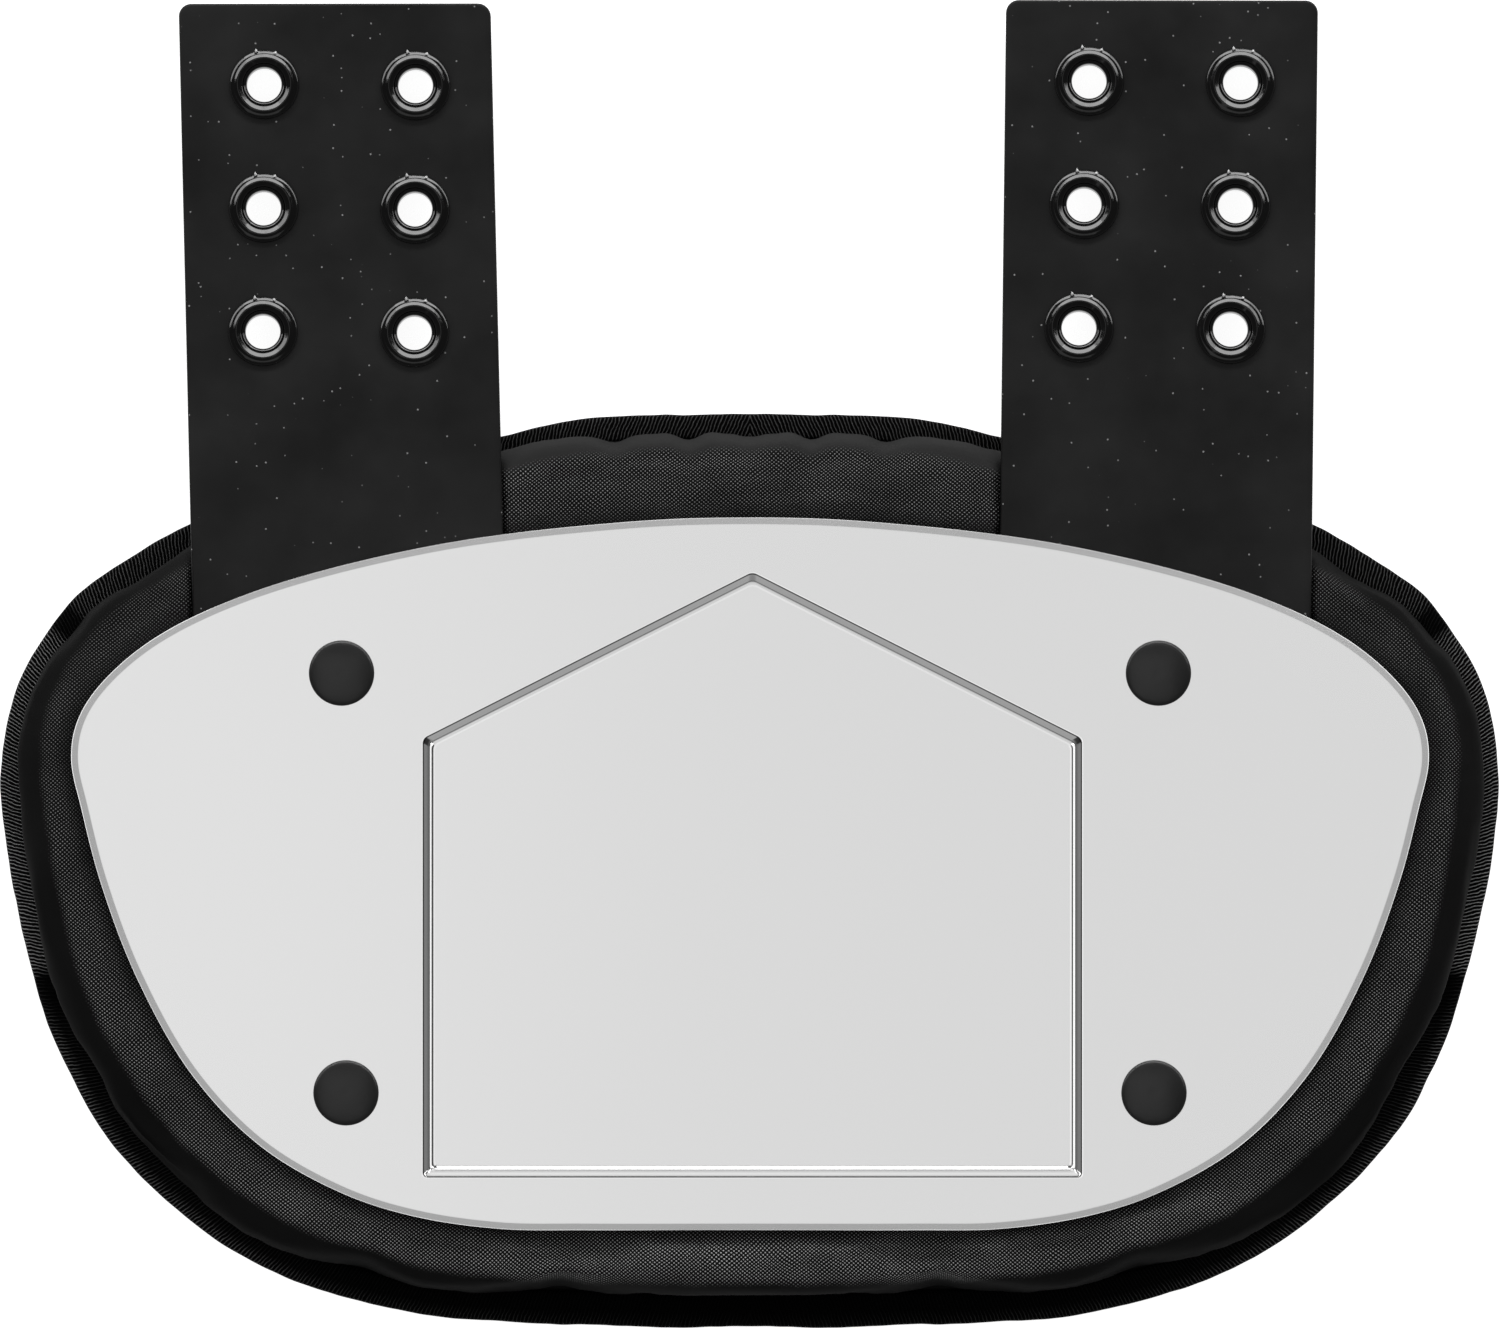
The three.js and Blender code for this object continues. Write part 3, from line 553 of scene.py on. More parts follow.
# The cap as (radius, height above the plate's face), from its middle out and under its rim
CAP_HEIGHT, HEAD_THICKNESS, HEAD_ROUND = 1.6, 1.2, 1.0
CAP = [
    (0.0, 1.48), (0.5, 1.49), (0.95, 1.52), (1.4, 1.53), (2.2, 1.46), (3.4, 1.28), (4.6, 1.02), (5.5, 0.78),
    (6.1, 0.58), (6.45, 0.42), (6.62, 0.24), (6.65, 0.05), (6.6, -0.2), (6.4, -0.26), (2.5, -0.26),
]
for node in RIVETS:
    low, high = box_mm(node)
    seat = high.z - CAP_HEIGHT
    rear, neck, edge = low.z - seat, low.z + HEAD_THICKNESS - seat, low.z + HEAD_ROUND - seat
    shank = [(2.5, neck), (4.8, neck), (5.0, edge), (5.0, rear), (0.0, rear)]
    middle = Matrix.Translation((*plan_middle(node), seat))
    finish(spun(CAP + shank, 64, middle), f"{node}_cap", nylon, [node], crease=50)

# %% [markdown]
# ## Straps: smooth black vinyl
# Each strap is die-cut from calendered vinyl sheet. The sheet is smooth, yet it lies in slow waves, and
# the eyelets pull it down around them, so the light breaks up in soft patches. It picks up pale dust.
# Where a strap runs comes from the CAD model: level from its rivet, a slight bend at the pad's edge, then
# straight and drooping four degrees.

# %% Vinyl material
vinyl, tree, out = new_material("calendered_vinyl")
place = add(tree, "ShaderNodeTexCoord")
patches = blotches(tree, (place, "Object"), 55.0, 3.0)
sheen_map = remap(tree, (patches, "Fac"), 0.3, 0.7, 0.34, 0.5)
# Dust: specks of about 0.3 mm in cells 2 mm wide. Only a few cells have theirs at the surface
dust = add(tree, "ShaderNodeTexVoronoi", {"Vector": (place, "Object"), "Scale": 520.0})
near = remap(tree, (dust, "Distance"), 0.06, 0.12, 1.0, 0.0)
rare = add(tree, "ShaderNodeSeparateColor", {"Color": (dust, "Color")})
few = maths(tree, "GREATER_THAN", (rare, "Red"), 0.66)
specks = maths(tree, "MULTIPLY", near, few)
tones = ramp(tree, (patches, "Fac"), (0.3, "#050505"), (0.7, "#171717"))
dusty = mixed(tree, specks, tones, linear("#787878"))
grain = blotches(tree, (place, "Object"), 90.0, 2.0)
waves = bump(tree, (grain, "Fac"), 0.12, 0.0006)
coat(tree, out, {
    "Base Color": (dusty, 2), "Roughness": sheen_map, "Specular IOR Level": 0.15,
    "Normal": waves,
})

# %% Where the straps and their eyelets lie
# lean turns a strap about its rivet, and offset is how far its middle lies beside the rivet. reach is how far
# it goes past the rivet, bend_end where it has bent to its droop, and end_lean how its cut end slants.
Strap = namedtuple("Strap", "side rivet lean offset reach bend_end end_lean")
STRAPS = [
    Strap("left", "rivet_upper_left", math.radians(1.37), 1.7, 136.2, 50.1, math.radians(-1.3)),
    Strap("right", "rivet_upper_right", math.radians(-0.7), -0.8, 136.9, 50.8, math.radians(0.6)),
]
STRAP_WIDTH, STRAP_THICKNESS, STRAP_TAIL, STRAP_FRONT = 63.5, 2.5, 28.0, 15.0
BEND_START, DROOP = 32.2, math.radians(4)
# An eyelet's flange stands this far above the strap's middle plane
FLANGE_STANDS = 1.55


def strap_run(strap, y):
    """Height of the strap's middle plane and its slope at y along the strap."""
    radius = (strap.bend_end - BEND_START) / math.sin(DROOP)
    middle = STRAP_FRONT - STRAP_THICKNESS / 2
    if y <= BEND_START:
        return middle, 0.0
    if y <= strap.bend_end:
        slope = math.asin((y - BEND_START) / radius)
        return middle - radius * (1 - math.cos(slope)), slope
    return middle - radius * (1 - math.cos(DROOP)) - (y - strap.bend_end) * math.tan(DROOP), DROOP


def strap_matrix(strap):
    """From a strap's own plan, with its rivet at the origin, to the object's."""
    return Matrix.Translation((*plan_middle(strap.rivet), 0)) @ Matrix.Rotation(strap.lean, 4, "Z")


def eyelet_places(strap):
    """The six eyelets' axes in the strap's own plan, from the rims of their CAD flanges."""
    back = strap_matrix(strap).inverted()
    places = []
    for number in range(1, 7):
        rim = back @ Vector((*plan_middle(f"eyelet_{strap.side}_{number}"), 0))
        places.append(Vector((rim.x, rim.y - FLANGE_STANDS * math.sin(DROOP))))
    return places

# %% Cut, thicken, round and bend a strap
END_ROUND, TAIL_ROUND, EDGE_ROUND, EYELET_BORE = 2.6, 6.0, 0.45, 4.6
CELL, WAVE, DIMPLE = 1.6, 0.16, 0.16


def make_strap(strap):
    """A sheet cut into small cells, holed, thickened and rounded flat, and then bent, waved and placed."""
    half = STRAP_WIDTH / 2
    mesh = bmesh.new()
    sheet = bmesh.ops.create_grid(mesh, x_segments=1, y_segments=1, size=1)["verts"]
    for vertex in sheet:
        x = strap.offset + half * vertex.co.x
        end = strap.reach + half * vertex.co.x * math.tan(strap.end_lean)
        vertex.co = (x, end if vertex.co.y > 0 else -STRAP_TAIL, 0)
    for end, radius in ((1, END_ROUND), (-1, TAIL_ROUND)):
        corners = [v for v in mesh.verts if v.co.y * end > 0]
        bmesh.ops.bevel(
            mesh, geom=corners, offset=radius, segments=8, profile=0.5, affect="VERTICES", material=-1
        )
    across, lengthways = (strap.offset - half, strap.offset + half), (-STRAP_TAIL, strap.reach)
    for axis, (start, stop) in (((1, 0, 0), across), ((0, 1, 0), lengthways)):
        steps = round((stop - start) / CELL)
        for i in range(1, steps):
            at = start + (stop - start) * i / steps
            everything = mesh.verts[:] + mesh.edges[:] + mesh.faces[:]
            cut_at = (at * axis[0], at * axis[1], 0)
            bmesh.ops.bisect_plane(mesh, geom=everything, plane_co=cut_at, plane_no=axis)
    holes = [(place, EYELET_BORE) for place in eyelet_places(strap)] + [(Vector((0, 0)), RIVET_BORE)]
    for middle, radius in holes:
        inside = [f for f in mesh.faces if (f.calc_center_median().xy - middle).length < radius]
        rim = {v for f in inside for v in f.verts if any(g not in inside for g in v.link_faces)}
        bmesh.ops.delete(mesh, geom=inside, context="FACES")
        for vertex in rim:
            arm = (vertex.co.xy - middle).normalized() * radius
            vertex.co = (middle.x + arm.x, middle.y + arm.y, 0)
    grown = bmesh.ops.extrude_face_region(mesh, geom=mesh.faces[:])["geom"]
    for part in grown:
        if isinstance(part, bmesh.types.BMVert):
            part.co.z = STRAP_THICKNESS
    bmesh.ops.translate(mesh, vec=(0, 0, -STRAP_THICKNESS / 2), verts=mesh.verts)
    bmesh.ops.recalc_face_normals(mesh, faces=mesh.faces)
    # The sharp, level edges round both faces, but not those round a hole
    rims = [
        e for e in mesh.edges
        if len(e.link_faces) == 2 and e.calc_face_angle() > 1.2
        and abs(e.verts[0].co.z - e.verts[1].co.z) < 0.01
        and min((e.verts[0].co.xy - m).length for m, _ in holes) > 6
    ]
    bmesh.ops.bevel(
        mesh, geom=rims, offset=EDGE_ROUND, segments=3, profile=0.5, affect="EDGES", material=-1
    )
    for vertex in mesh.verts:
        x, y, t = vertex.co
        z, slope = strap_run(strap, y)
        wave = 0.0
        if y > BEND_START:
            calm = min(1.0, (y - BEND_START) / 20)
            wave = calm * WAVE * noise.noise(Vector((x / 26, y / 22, strap.reach)))
            for middle, _ in holes[:6]:
                away = (Vector((x, y)) - middle).length
                wave -= DIMPLE * math.exp(-(((away - 6) / 3.2) ** 2))
        vertex.co = (x, y + t * math.sin(slope), z + t * math.cos(slope) + wave)
    bmesh.ops.transform(mesh, matrix=strap_matrix(strap), verts=mesh.verts)
    return mesh


for strap in STRAPS:
    node = f"strap_{strap.side}"
    finish(make_strap(strap), f"vinyl_{node}", vinyl, [node], crease=50)

# %% [markdown]
# ## Eyelets: black enamelled steel
# A pressed eyelet is one tube whose end is rolled over into a flange, set against a washer at the back.
# The flange rises to a crest and falls again towards the hole, both at about 27 degrees. That is the slope
# which mirrors the light past the top edge, so each side of the crest shows a bright arc of its own. Again
# the section is drawn once and spun. Gloss enamel is a clear reflection over black, so the shader has low
# roughness. Small nicks at the top of the rim are pale grey, partly bare steel and partly a painted glint
# of the light past the top edge.

# %% Enamel material
enamel, tree, out = new_material("gloss_black_enamel")
place = add(tree, "ShaderNodeTexCoord")
runs = blotches(tree, (place, "Object"), 420.0, 2.0)
uneven = bump(tree, (runs, "Fac"), 0.12, 0.0002)
scuffs = blotches(tree, (place, "Object"), 700.0, 3.0)
dull = remap(tree, (scuffs, "Fac"), 0.4, 0.7, 0.07, 0.15)
# Pale grey at the nicks: partly bare steel, partly a painted glint of the light past the top edge
chips_and_glints = stored(tree, "bare_and_glint")
enamel_with_chips_and_glints = mixed(tree, (chips_and_glints, "Fac"), linear("#040404"), linear("#BDBDBD"))
coat(tree, out, {
    "Base Color": (enamel_with_chips_and_glints, 2), "Roughness": dull, "Specular IOR Level": 0.34,
    "Normal": uneven,
})

# %% Spin the eyelets
EYELET = [
    (3.5, -2.45), (6.1, -2.45), (6.3, -2.3), (6.3, -1.7), (6.1, -1.5), (4.3, -1.5), (4.3, 1.2), (6.6, 1.2),
    (6.9, 1.24), (7.0, 1.4), (7.05, 1.75), (7.03, 1.98), (6.93, 2.1), (6.8, 2.18), (6.55, 2.3), (6.3, 2.42),
    (6.24, 2.44), (6.12, 2.48), (6.06, 2.51), (5.9, 2.59), (5.7, 2.69), (5.54, 2.77), (5.46, 2.8), (5.4, 2.8),
    (5.32, 2.77), (5.2, 2.71), (5.0, 2.61), (4.8, 2.51), (4.6, 2.41), (4.46, 2.34), (4.32, 2.16), (4.2, 1.96),
    (4.08, 1.85), (3.92, 1.78), (3.74, 1.69), (3.6, 1.5), (3.5, 1.0),
]
# The press leaves bright nicks in the rim of every eyelet, at the same angles clockwise from its top, where
# the light past the top edge falls. Their pale grey is partly bare steel and partly a painted glint.
# A nick is (degrees, millimetres that its middle stands out).
NICKS, NICK_HALF_WIDTH, BARE_AND_GLINT_FROM = [(-12, 0.5), (21, 0.16)], 3.0, 0.2
for strap in STRAPS:
    for number, middle in enumerate(eyelet_places(strap), start=1):
        ring = spun(EYELET, 120, Matrix.Identity(4))
        bare_and_glint = []
        for vertex in ring.verts:
            radius, degrees = vertex.co.xy.length, math.degrees(math.atan2(vertex.co.x, vertex.co.y))
            bite = sum(
                size * max(0.0, 1 - abs(degrees - angle) / NICK_HALF_WIDTH) for angle, size in NICKS
            )
            if radius > 6.6 and vertex.co.z > 1.6:
                vertex.co.x, vertex.co.y = (share * (1 + bite / radius) for share in vertex.co.xy)
                vertex.co.z += bite * 0.3
                bare_and_glint.append(min(1.0, bite / BARE_AND_GLINT_FROM))
            else:
                bare_and_glint.append(0.0)
        z, slope = strap_run(strap, middle.y)
        upright = Matrix.Translation((middle.x, middle.y, z)) @ Matrix.Rotation(-slope, 4, "X")
        stands = strap_matrix(strap) @ upright
        bmesh.ops.transform(ring, matrix=stands, verts=ring.verts)
        node = f"eyelet_{strap.side}_{number}"
        eyelet = finish(ring, f"{node}_ring", enamel, [node], crease=60)
        store(eyelet, "bare_and_glint", bare_and_glint)

# %% [markdown]
# ## Pad: a puffed cover
# The pad is a sheet of foam in a sewn cover. The cover is held at the seam, under the plate and under the
# straps, and swells in between. So the mesh starts a little flat, those places are pinned, and a short
# cloth simulation with air pressure blows up the rest. Puckers run in from the seam where the stitching
# gathers the cloth.

# %% Section of the cover
PAD_FRONT, SEAM_REAR, SEAM_FRONT, PUFF_BASE = 15.0, 1.3, 2.5, 4.1
PUFF_RUN, LEG_HIDDEN, SEAM_INSET, GATHER = 9.0, 2.0, 1.3, 0.32
# The section of the puffed border as shares of its run and of its rise
PUFF = [
    (0.42, 0.0), (0.2, 0.03), (0.08, 0.1), (0.03, 0.2), (0.01, 0.31), (0.02, 0.42), (0.06, 0.53),
    (0.12, 0.64), (0.21, 0.74), (0.33, 0.83), (0.48, 0.9), (0.66, 0.95), (0.84, 0.98), (1.0, 1.0),
]
# A pucker is (share of the way round, depth and half width as shares of PUFF_RUN)
PUCKERS = [
    (0.0, 0.07, 0.35), (0.031, 0.17, 0.3), (0.069, 0.13, 0.35), (0.37, 0.05, 0.6), (0.615, 0.05, 0.8),
    (0.8, 0.09, 0.8), (0.905, 0.07, 0.35),
]


def drawn_in_at(station):
    """How far the cover is gathered in at the seam, in millimetres."""
    return sum(
        depth * PUFF_RUN * math.exp(-(((station.around - around) * HALF_WAY / (width * PUFF_RUN)) ** 2))
        for around, depth, width in PUCKERS
    )


def swing(station, length, seed, spread=200):
    """Noise that waves along the outline. It is nearly the same on the left and on the right."""
    return noise.noise(Vector((station.along / length, station.x / spread, seed)))


def leg_end(station):
    """How far in from the edge the tape's two legs end, hidden under the cover's puff."""
    return station.band + LEG_HIDDEN


def side_run(station):
    """The pad's side is steeper along the top than round the lower corners."""
    return 0.85 + 0.4 * math.exp(-(((station.around - 0.68) / 0.2) ** 2))


def puff_row(run, rise):
    """A row of the puffed border, for loft."""
    def at(station):
        edge = min(station.band + drawn_in_at(station), leg_end(station))
        return edge + run * PUFF_RUN * side_run(station), PUFF_BASE + rise * (PAD_FRONT - PUFF_BASE)
    return at


SEAM_ROWS = [
    lambda s: (leg_end(s) + 1.8, 0.0),
    lambda s: (leg_end(s) + 0.3, SEAM_REAR),
    lambda s: (SEAM_INSET, SEAM_REAR),
    lambda s: (SEAM_INSET, SEAM_FRONT),
    lambda s: (leg_end(s) + 0.3, SEAM_FRONT),
    lambda s: (leg_end(s) + 0.2, PUFF_BASE - 0.6),
]
FLAT_ROWS, UNDER_PLATE = 12, 5

pad = bmesh.new()
rows = SEAM_ROWS + [puff_row(*at) for at in PUFF] + [puff_row(1.0, 1.0)] * FLAT_ROWS
rear_edges, front_edges = loft(pad, pad_line, rows)
which, line = pad.verts.layers.int["station"], pad.verts.layers.int["row"]
print("cover has", len(pad.verts), "vertices in", len(rows), "rows")

# %% Where the plate and the straps press on the cover
plate_edge = kdtree.KDTree(len(plate_line))
for i, station in enumerate(plate_line):
    plate_edge.insert((station.x, station.y, 0), i)
plate_edge.balance()
strap_backs = [(strap, strap_matrix(strap).inverted()) for strap in STRAPS]


def outside_plate(point):
    """Millimetres from the plate's edge, negative under the plate."""
    spot, i, _ = plate_edge.find((point.x, point.y, 0))
    return -(Vector((point.x, point.y)) - spot.xy).dot(plate_line[i].inward)


def outside_straps(point):
    """Millimetres from the nearest strap's edge, negative under the strap."""
    away = []
    for strap, back in strap_backs:
        p = back @ Vector((point.x, point.y, 0))
        away.append(max(abs(p.x - strap.offset) - STRAP_WIDTH / 2, -STRAP_TAIL - p.y))
    return min(away)


def beside(away, under, lip, run, slope):
    """A ceiling that is flat under a piece, and from its edge rises by a rounded lip and then a slope."""
    return under if away < 0 else under + lip * (1 - math.exp(-away / run)) + slope * away


def ceiling(point):
    """The highest that the cover may stand at a point: under the plate, under a strap, or beside them."""
    by_strap = beside(outside_straps(point), under=12.1, lip=3.9, run=1.2, slope=0.4)
    by_plate = beside(outside_plate(point), under=14.9, lip=1.3, run=1.5, slope=0.3)
    return min(by_strap, by_plate)


def shape_cover(mesh, step=1):
    """Stretches the flat of a lofted cover under the plate, and presses it under the plate and the straps."""
    which, line = mesh.verts.layers.int["station"], mesh.verts.layers.int["row"]
    for vertex in mesh.verts:
        share = (vertex[line] - len(rows) + FLAT_ROWS + 1) / FLAT_ROWS
        if share > 0:
            edge = plate_line[vertex[which] * step]
            x, y = edge.x + UNDER_PLATE * edge.inward.x, edge.y + UNDER_PLATE * edge.inward.y
            under = Vector((x, y, PAD_FRONT))
            vertex.co = vertex.co.lerp(under, share)
        if vertex[line] >= len(SEAM_ROWS):
            vertex.co.z = min(vertex.co.z, ceiling(vertex.co))


shape_cover(pad)
for edges in (rear_edges, front_edges):
    bmesh.ops.contextual_create(pad, geom=edges)

# %% [markdown]
# ### Blow up the cover
# The cloth is simulated on a coarse copy with a quarter of the stations, and the fine cover takes over how
# far each spot moved. That gives the same broad swelling in a fraction of the time. Gravity is off, so the
# pressure alone works, and no point may move more than the cap.

# %% Cloth simulation
PRESSURE, SIM_STEPS, MOST_MOVE, COARSE = 4.0, 20, 4.0, 4
COARSE_COUNT = len(pad_line) // COARSE


def swell():
    """How far the air pushes each (coarse station, row) of the cover, in millimetres."""
    mesh = bmesh.new()
    loft(mesh, pad_line[::COARSE], rows)
    shape_cover(mesh, COARSE)
    which, line = mesh.verts.layers.int["station"], mesh.verts.layers.int["row"]
    spots = [(vertex[which], vertex[line]) for vertex in mesh.verts]
    homes = [vertex.co.copy() for vertex in mesh.verts]
    held = [
        i for i, (spot, home) in enumerate(zip(spots, homes))
        if spot[1] <= len(SEAM_ROWS) or outside_plate(home) < 0.3 or outside_straps(home) < 0
    ]
    bmesh.ops.recalc_face_normals(mesh, faces=mesh.faces)
    bmesh.ops.scale(mesh, vec=(MM, MM, MM), verts=mesh.verts)
    balloon = as_object(mesh, "blow_up")
    balloon.vertex_groups.new(name="held").add(held, 1.0, "REPLACE")
    cloth = balloon.modifiers.new("cloth", "CLOTH")
    cloth.settings.quality = 5
    cloth.settings.mass = 0.15
    cloth.settings.tension_stiffness = cloth.settings.compression_stiffness = 12
    cloth.settings.bending_stiffness = 0.4
    cloth.settings.shrink_min = -0.02
    cloth.settings.use_pressure = True
    cloth.settings.uniform_pressure_force = PRESSURE
    cloth.settings.vertex_group_mass = "held"
    cloth.settings.effector_weights.gravity = 0
    cloth.point_cache.frame_start, cloth.point_cache.frame_end = 1, SIM_STEPS
    for step in range(1, SIM_STEPS + 1):
        bpy.context.scene.frame_set(step)
    blown = balloon.evaluated_get(bpy.context.evaluated_depsgraph_get())
    moves = {
        spot: vertex.co / MM - home
        for spot, home, vertex in zip(spots, homes, blown.data.vertices)
    }
    bpy.data.objects.remove(balloon)
    bpy.context.scene.frame_set(1)
    for sweep in range(3):
        moves = {
            (i, row): (
                moves[(i - 1) % COARSE_COUNT, row] + 2 * move + moves[(i + 1) % COARSE_COUNT, row]
            ) / 4
            for (i, row), move in moves.items()
        }
    most = max(move.length for move in moves.values())
    print("the cover swells by up to", round(most, 2), "mm")
    return {spot: move * min(1.0, MOST_MOVE / max(move.length, 1e-6)) for spot, move in moves.items()}


station_of = [vertex[which] for vertex in pad.verts]
row_of = [vertex[line] for vertex in pad.verts]
# The vinyl only stands in here, until the cover's own material is made
cover = finish(pad, "woven_pad_cover", vinyl, ["pad"], crease=0)
as_cut = [vertex.co / MM for vertex in cover.data.vertices]
blown_by = swell()
for vertex, i, row in zip(cover.data.vertices, station_of, row_of):
    here, share = divmod(i, COARSE)
    following = blown_by[(here + 1) % COARSE_COUNT, row]
    vertex.co += blown_by[here, row].lerp(following, share / COARSE) * MM

# %% Puckers, ceiling and cloth coordinates
for vertex, i, row in zip(cover.data.vertices, station_of, row_of):
    if row < len(SEAM_ROWS):
        continue
    station = pad_line[i]
    point = vertex.co / MM
    height = (point.z - PUFF_BASE) / (PAD_FRONT - PUFF_BASE)
    gather = swing(station, 5.5, 3.7) + 0.5 * swing(station, 2.3, 9.1)
    fade = math.exp(-(((height - 0.35) / 0.4) ** 2))
    push = -GATHER * gather * fade
    point = point + Vector((station.inward.x * push, station.inward.y * push, 0))
    point.z = min(point.z, ceiling(point))
    vertex.co = point * MM

columns = {}
for number, (i, row) in enumerate(zip(station_of, row_of)):
    columns.setdefault(i, {})[row] = number
laid_flat = [(0.0, 0.0, 0.0)] * len(as_cut)
for i, column in columns.items():
    outward = -pad_line[i].inward
    heights = [row(pad_line[i])[1] for row in rows]
    inner = column[len(rows) - 1]
    spot = as_cut[inner].xy
    laid_flat[inner] = (spot.x, spot.y, 0.0)
    for row in range(len(rows) - 2, -1, -1):
        flat = (as_cut[column[row]] - as_cut[column[row + 1]]).xy
        heading = flat.normalized() if flat.length > 0.3 and flat.dot(outward) > 0 else outward
        spot = spot + heading * math.hypot(flat.length, heights[row + 1] - heights[row])
        laid_flat[column[row]] = (spot.x, spot.y, 0.0)
store(cover, "threads", laid_flat)

# %% Where the woven top ends, its tone round the pad, and the painted shade and painted light
def side_width(station):
    """How wide the smooth side panel looks from above, wider round the lower corners and at the puckers."""
    wide = 1.5 - 0.7 * math.exp(-(((station.around - 0.27) / 0.09) ** 2))
    widens = 2.1 / (1 + math.exp(-(station.around - 0.46) / 0.03))
    narrows = 2.3 / (1 + math.exp(-(station.around - 0.84) / 0.03))
    wide += widens - narrows
    return wide + 0.9 * drawn_in_at(station) + 0.45 * swing(station, 7, 8.8)


def by_place(table, around):
    """A value between the two nearest places of a table of (share of the way round, value)."""
    (a, low), (b, high) = next(pair for pair in zip(table, table[1:]) if around <= pair[1][0] + 1e-6)
    return low + (high - low) * (around - a) / (b - a)


# The woven part is lightest along the bottom and darkest round the upper sides. The smooth side panel is
# painted light along the top, where the light past the top edge falls, and darker lower down
WEAVE_TONE_ROUND = [
    (0.0, 0.9), (0.2, 0.92), (0.3, 0.74), (0.4, 0.78), (0.5, 0.92), (0.62, 1.06), (0.75, 1.2), (1.0, 1.3),
]
SIDE_PAINTED_LIGHT = [(0.0, 1.0), (0.2, 0.9), (0.32, 0.2), (0.6, 0.1), (1.0, 0.2)]
cover_layers = {"woven_from": [], "weave_tone_and_plate_shade": [], "painted_light_on_side": []}
for vertex, i in zip(cover.data.vertices, station_of):
    station, point = pad_line[i], vertex.co / MM
    inset = (point.xy - Vector((station.x, station.y))).dot(station.inward) - leg_end(station)
    # Beside the plate the cover turns down, and the weave there is darkened as painted shade
    clear_of_plate_shade = min(1.0, max(0.0, outside_plate(point) / 3.5))
    cover_layers["woven_from"].append(inset - side_width(station))
    cover_layers["weave_tone_and_plate_shade"].append(by_place(WEAVE_TONE_ROUND, station.around) * (0.6 + 0.4 * clear_of_plate_shade))
    cover_layers["painted_light_on_side"].append(by_place(SIDE_PAINTED_LIGHT, station.around))
for name, values in cover_layers.items():
    store(cover, name, values)

# %% [markdown]
# ### Woven polyester
# The cover is a plain weave: warp and weft threads under half a millimetre apart go over and under each
# other by turns, so the crossings that lie on top catch the light in a checkerboard, and that highlight is
# painted into the colour as lighter crossings. The pattern is made from two sine waves along the threads,
# read from coordinates that were unrolled with the cloth, so it runs straight over the top and bends down
# the sides as the real cloth does.

# %% Cover material
# The real threads are 0.45 mm apart one way and 0.34 mm the other. They are drawn a little coarser, so
# that they show.
WARP_GAP, WEFT_GAP = 0.46, 0.4
fabric, tree, out = new_material("plain_woven_polyester")
cloth_at = stored(tree, "threads")
wobble = blotches(tree, (cloth_at, "Vector"), 0.12, 2.0)
drift = add(tree, "ShaderNodeVectorMath", {0: (wobble, "Color"), 1: (0.5, 0.5, 0.5)}, operation="SUBTRACT")
shift = add(tree, "ShaderNodeVectorMath", {0: drift, 3: 1.4}, operation="SCALE")
laid = add(tree, "ShaderNodeVectorMath", {0: (cloth_at, "Vector"), 1: shift}, operation="ADD")
axes = add(tree, "ShaderNodeSeparateXYZ", {"Vector": laid})
waves_of = []
for axis, gap in (("X", WARP_GAP), ("Y", WEFT_GAP)):
    turn = maths(tree, "MULTIPLY", (axes, axis), math.pi / gap)
    waves_of.append(maths(tree, "SINE", turn))
checker = maths(tree, "MULTIPLY", waves_of[0], waves_of[1])
round_x = maths(tree, "ABSOLUTE", waves_of[0])
round_y = maths(tree, "ABSOLUTE", waves_of[1])
warp = maths(tree, "MULTIPLY_ADD", checker, 0.8, round_x)
weft = maths(tree, "MULTIPLY_ADD", checker, -0.8, round_y)
surface = maths(tree, "MAXIMUM", warp, weft)
# The weave's tone round the pad, with painted shade beside the plate
weave_tone_and_shade_at = stored(tree, "weave_tone_and_plate_shade")
lit = remap(tree, checker, -0.1, 1.0)
painted_thread_highlights = maths(tree, "MULTIPLY", lit, (weave_tone_and_shade_at, "Fac"), use_clamp=True)
# Painted highlights: the crossings on top are coloured up to light grey
thread_highlight_colours = ramp(
    tree, painted_thread_highlights,
    (0.0, "#080808"), (0.3, "#131313"), (0.62, "#4D4D4D"), (1.0, "#929292"),
)
worn = blotches(tree, (cloth_at, "Vector"), 0.09, 5.0, 0.6)
tone = remap(tree, (worn, "Fac"), 0.3, 0.7, 0.75, 1.2)
toned = add(tree, "ShaderNodeVectorMath", {0: thread_highlight_colours, 3: tone}, operation="SCALE")
# The side panel under the woven top is a smooth knit whose stitches are far too fine to show
from_seam = stored(tree, "woven_from")
frayed = blotches(tree, (cloth_at, "Vector"), 0.9, 2.0)
seam_place = maths(tree, "MULTIPLY_ADD", (frayed, "Fac"), 0.9, (from_seam, "Fac"))
is_woven = remap(tree, seam_place, 0.0, 2.2, interpolation_type="SMOOTHSTEP")
# The knit's colour is painted light: lighter along the top, where the light past the top edge falls
side_light_at = stored(tree, "painted_light_on_side")
knit = ramp(tree, (side_light_at, "Fac"), (0.0, "#040404"), (1.0, "#232323"))
two_cloths = mixed(tree, is_woven, knit, toned)
thread_height = maths(tree, "MULTIPLY", surface, is_woven)
relief = bump(tree, thread_height, 0.5, 0.0001)
coat(tree, out, {
    "Base Color": (two_cloths, 2), "Roughness": 0.8, "Specular IOR Level": 0.06, "Normal": relief,
})
cover.data.materials[0] = fabric

# %% [markdown]
# ## Edge tape: ribbed grosgrain
# A folded tape is sewn round the seam. Its ribs run across it and lean a little, because the tape was
# pulled while it was sewn, and its edge waves. It is lofted as one folded strip, and the ribs are bump and
# colour read from coordinates along and across the tape. The colour paints highlights on the rib crests,
# painted light along the top and painted shadow along the lower run.

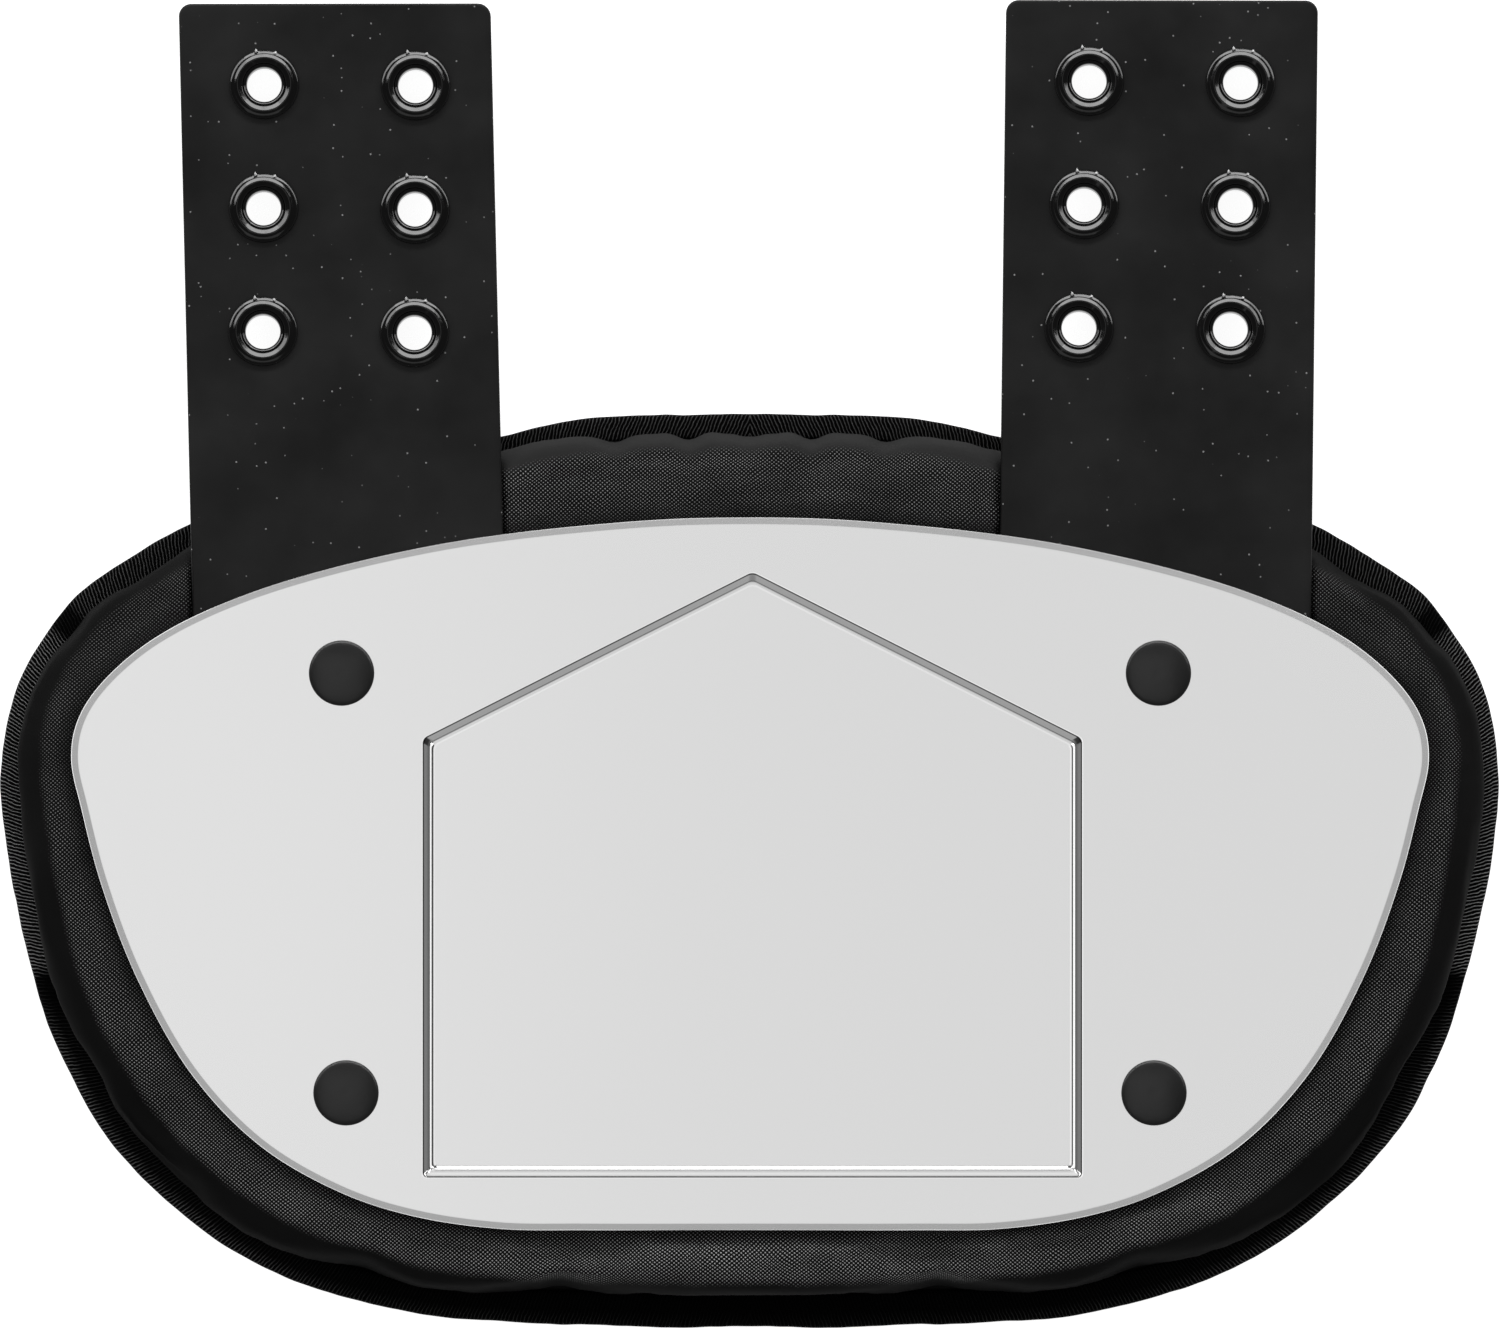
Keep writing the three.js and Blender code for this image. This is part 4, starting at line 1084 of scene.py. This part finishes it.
# %% Grosgrain material
# Ribs are 0.65 mm apart on the real tape. They are drawn a little coarser, so that they show
RIB = 0.78
grosgrain, tree, out = new_material("ribbed_grosgrain")
tape_at = stored(tree, "tape")
sway = blotches(tree, (tape_at, "Vector"), 0.35, 2.0)
along = add(tree, "ShaderNodeSeparateXYZ", {"Vector": (tape_at, "Vector")})
leaning = maths(tree, "MULTIPLY_ADD", (along, "Y"), -0.36, (along, "X"))
swayed = maths(tree, "MULTIPLY_ADD", (sway, "Fac"), 0.9, leaning)
phase = maths(tree, "MULTIPLY", swayed, math.tau / RIB)
ribs = maths(tree, "SINE", phase)
crests = remap(tree, ribs, -0.6, 1.0)
lint = blotches(tree, (tape_at, "Vector"), 1.6, 3.0)
faded = remap(tree, (lint, "Fac"), 0.3, 0.75, 0.55, 1.4)
# Painted highlights on the rib crests
rib_crest_highlights = ramp(
    tree, crests,
    (0.0, "#020202"), (0.45, "#080808"), (0.75, "#3C3C3C"), (1.0, "#8C8C8C"),
)
# Painted light: the ribs are lighter along the top and the sides, where the light past the top edge falls,
# and the lower run is nearly black as painted shadow. A random lint tone varies them as well
painted_light_on_ribs = stored(tree, "painted_light_on_ribs")
lint_and_painted_light = maths(tree, "MULTIPLY", faded, (painted_light_on_ribs, "Fac"))
rib_wires = {0: rib_crest_highlights, 3: lint_and_painted_light}
rib_colour = add(tree, "ShaderNodeVectorMath", rib_wires, operation="SCALE")
rib_relief = bump(tree, ribs, 0.8, 0.00015)
coat(tree, out, {
    "Base Color": rib_colour, "Roughness": 0.8, "Specular IOR Level": 0.03,
    "Normal": rib_relief,
})

# %% Fold the tape round the seam
TAPE_SECTION = [
    # share of the leg, millimetres from the edge, height
    (1, 0.0, 0.0), (0.5, 0.0, 0.0), (0, 0.9, 0.02), (0, 0.35, 0.2), (0, 0.06, 0.7), (0, 0.0, 1.9),
    (0, 0.06, 3.1), (0, 0.35, 3.62), (0, 0.9, 3.82), (0.35, 0.4, 3.86), (0.7, 0.2, 3.82), (1, 0.0, 3.78),
    (1, 0.0, 2.85), (0, 1.0, 2.8), (0, 1.0, 1.0), (1, 0.0, 1.0),
]
TYPICAL_LEG = 6.2


def tape_row(share, distance, z):
    """A row of the folded tape, for loft. The tape's outer edge waves, and the ends of its legs don't."""
    def at(station):
        ripple = 0.34 * swing(station, 12, 1.3, 300) + 0.12 * swing(station, 3.1, 5.3, 300)
        ripple *= 1 - share
        return share * leg_end(station) + distance + ripple, z
    return at


tape = bmesh.new()
first_edges, last_edges = loft(tape, pad_line, [tape_row(*at) for at in TAPE_SECTION])
bmesh.ops.bridge_loops(tape, edges=first_edges + last_edges)
which, line = tape.verts.layers.int["station"], tape.verts.layers.int["row"]
across = [0.0]
for (a, b, c), (d, e, f) in zip(TAPE_SECTION, TAPE_SECTION[1:]):
    across.append(across[-1] + math.hypot((d - a) * TYPICAL_LEG + e - b, f - c))
tape_at_vertex = [(pad_line[v[which]].along, across[v[line]], 0.0) for v in tape.verts]
tape_rows = [v[line] for v in tape.verts]
binding = finish(tape, "grosgrain_edge_tape", grosgrain, ["edge_binding"], crease=0)
store(binding, "tape", tape_at_vertex)
# Painted shade darkens a fold in the tape at 0.37 of the way round and a step in it at 0.56. Below the step
# the inner rows are painted as shadow, and only the outer strip is lit.
RIB_PAINTED_LIGHT = [
    (0.0, 0.17), (0.36, 0.24), (0.364, 0.02), (0.376, 0.02), (0.38, 0.55), (0.5, 0.8), (0.555, 0.9),
    (0.56, 0.03), (0.575, 0.05), (0.6, 0.4), (0.72, 0.35), (0.8, 0.1), (1.0, 0.02),
]
# The last number is how much of the painted light the inner rows keep below the step, as painted shadow
STEP_AT, OUTER_ROWS, PAINTED_SHADOW = 0.56, 8, 0.15
rib_light_at = []
for (distance, _, _), row in zip(tape_at_vertex, tape_rows):
    around = distance / HALF_WAY
    in_painted_shadow = around > STEP_AT and row > OUTER_ROWS
    rib_light_at.append(by_place(RIB_PAINTED_LIGHT, around) * (PAINTED_SHADOW if in_painted_shadow else 1.0))
store(binding, "painted_light_on_ribs", rib_light_at)
smoother = binding.modifiers.new("smoother", "SUBSURF")
smoother.levels = smoother.render_levels = 1
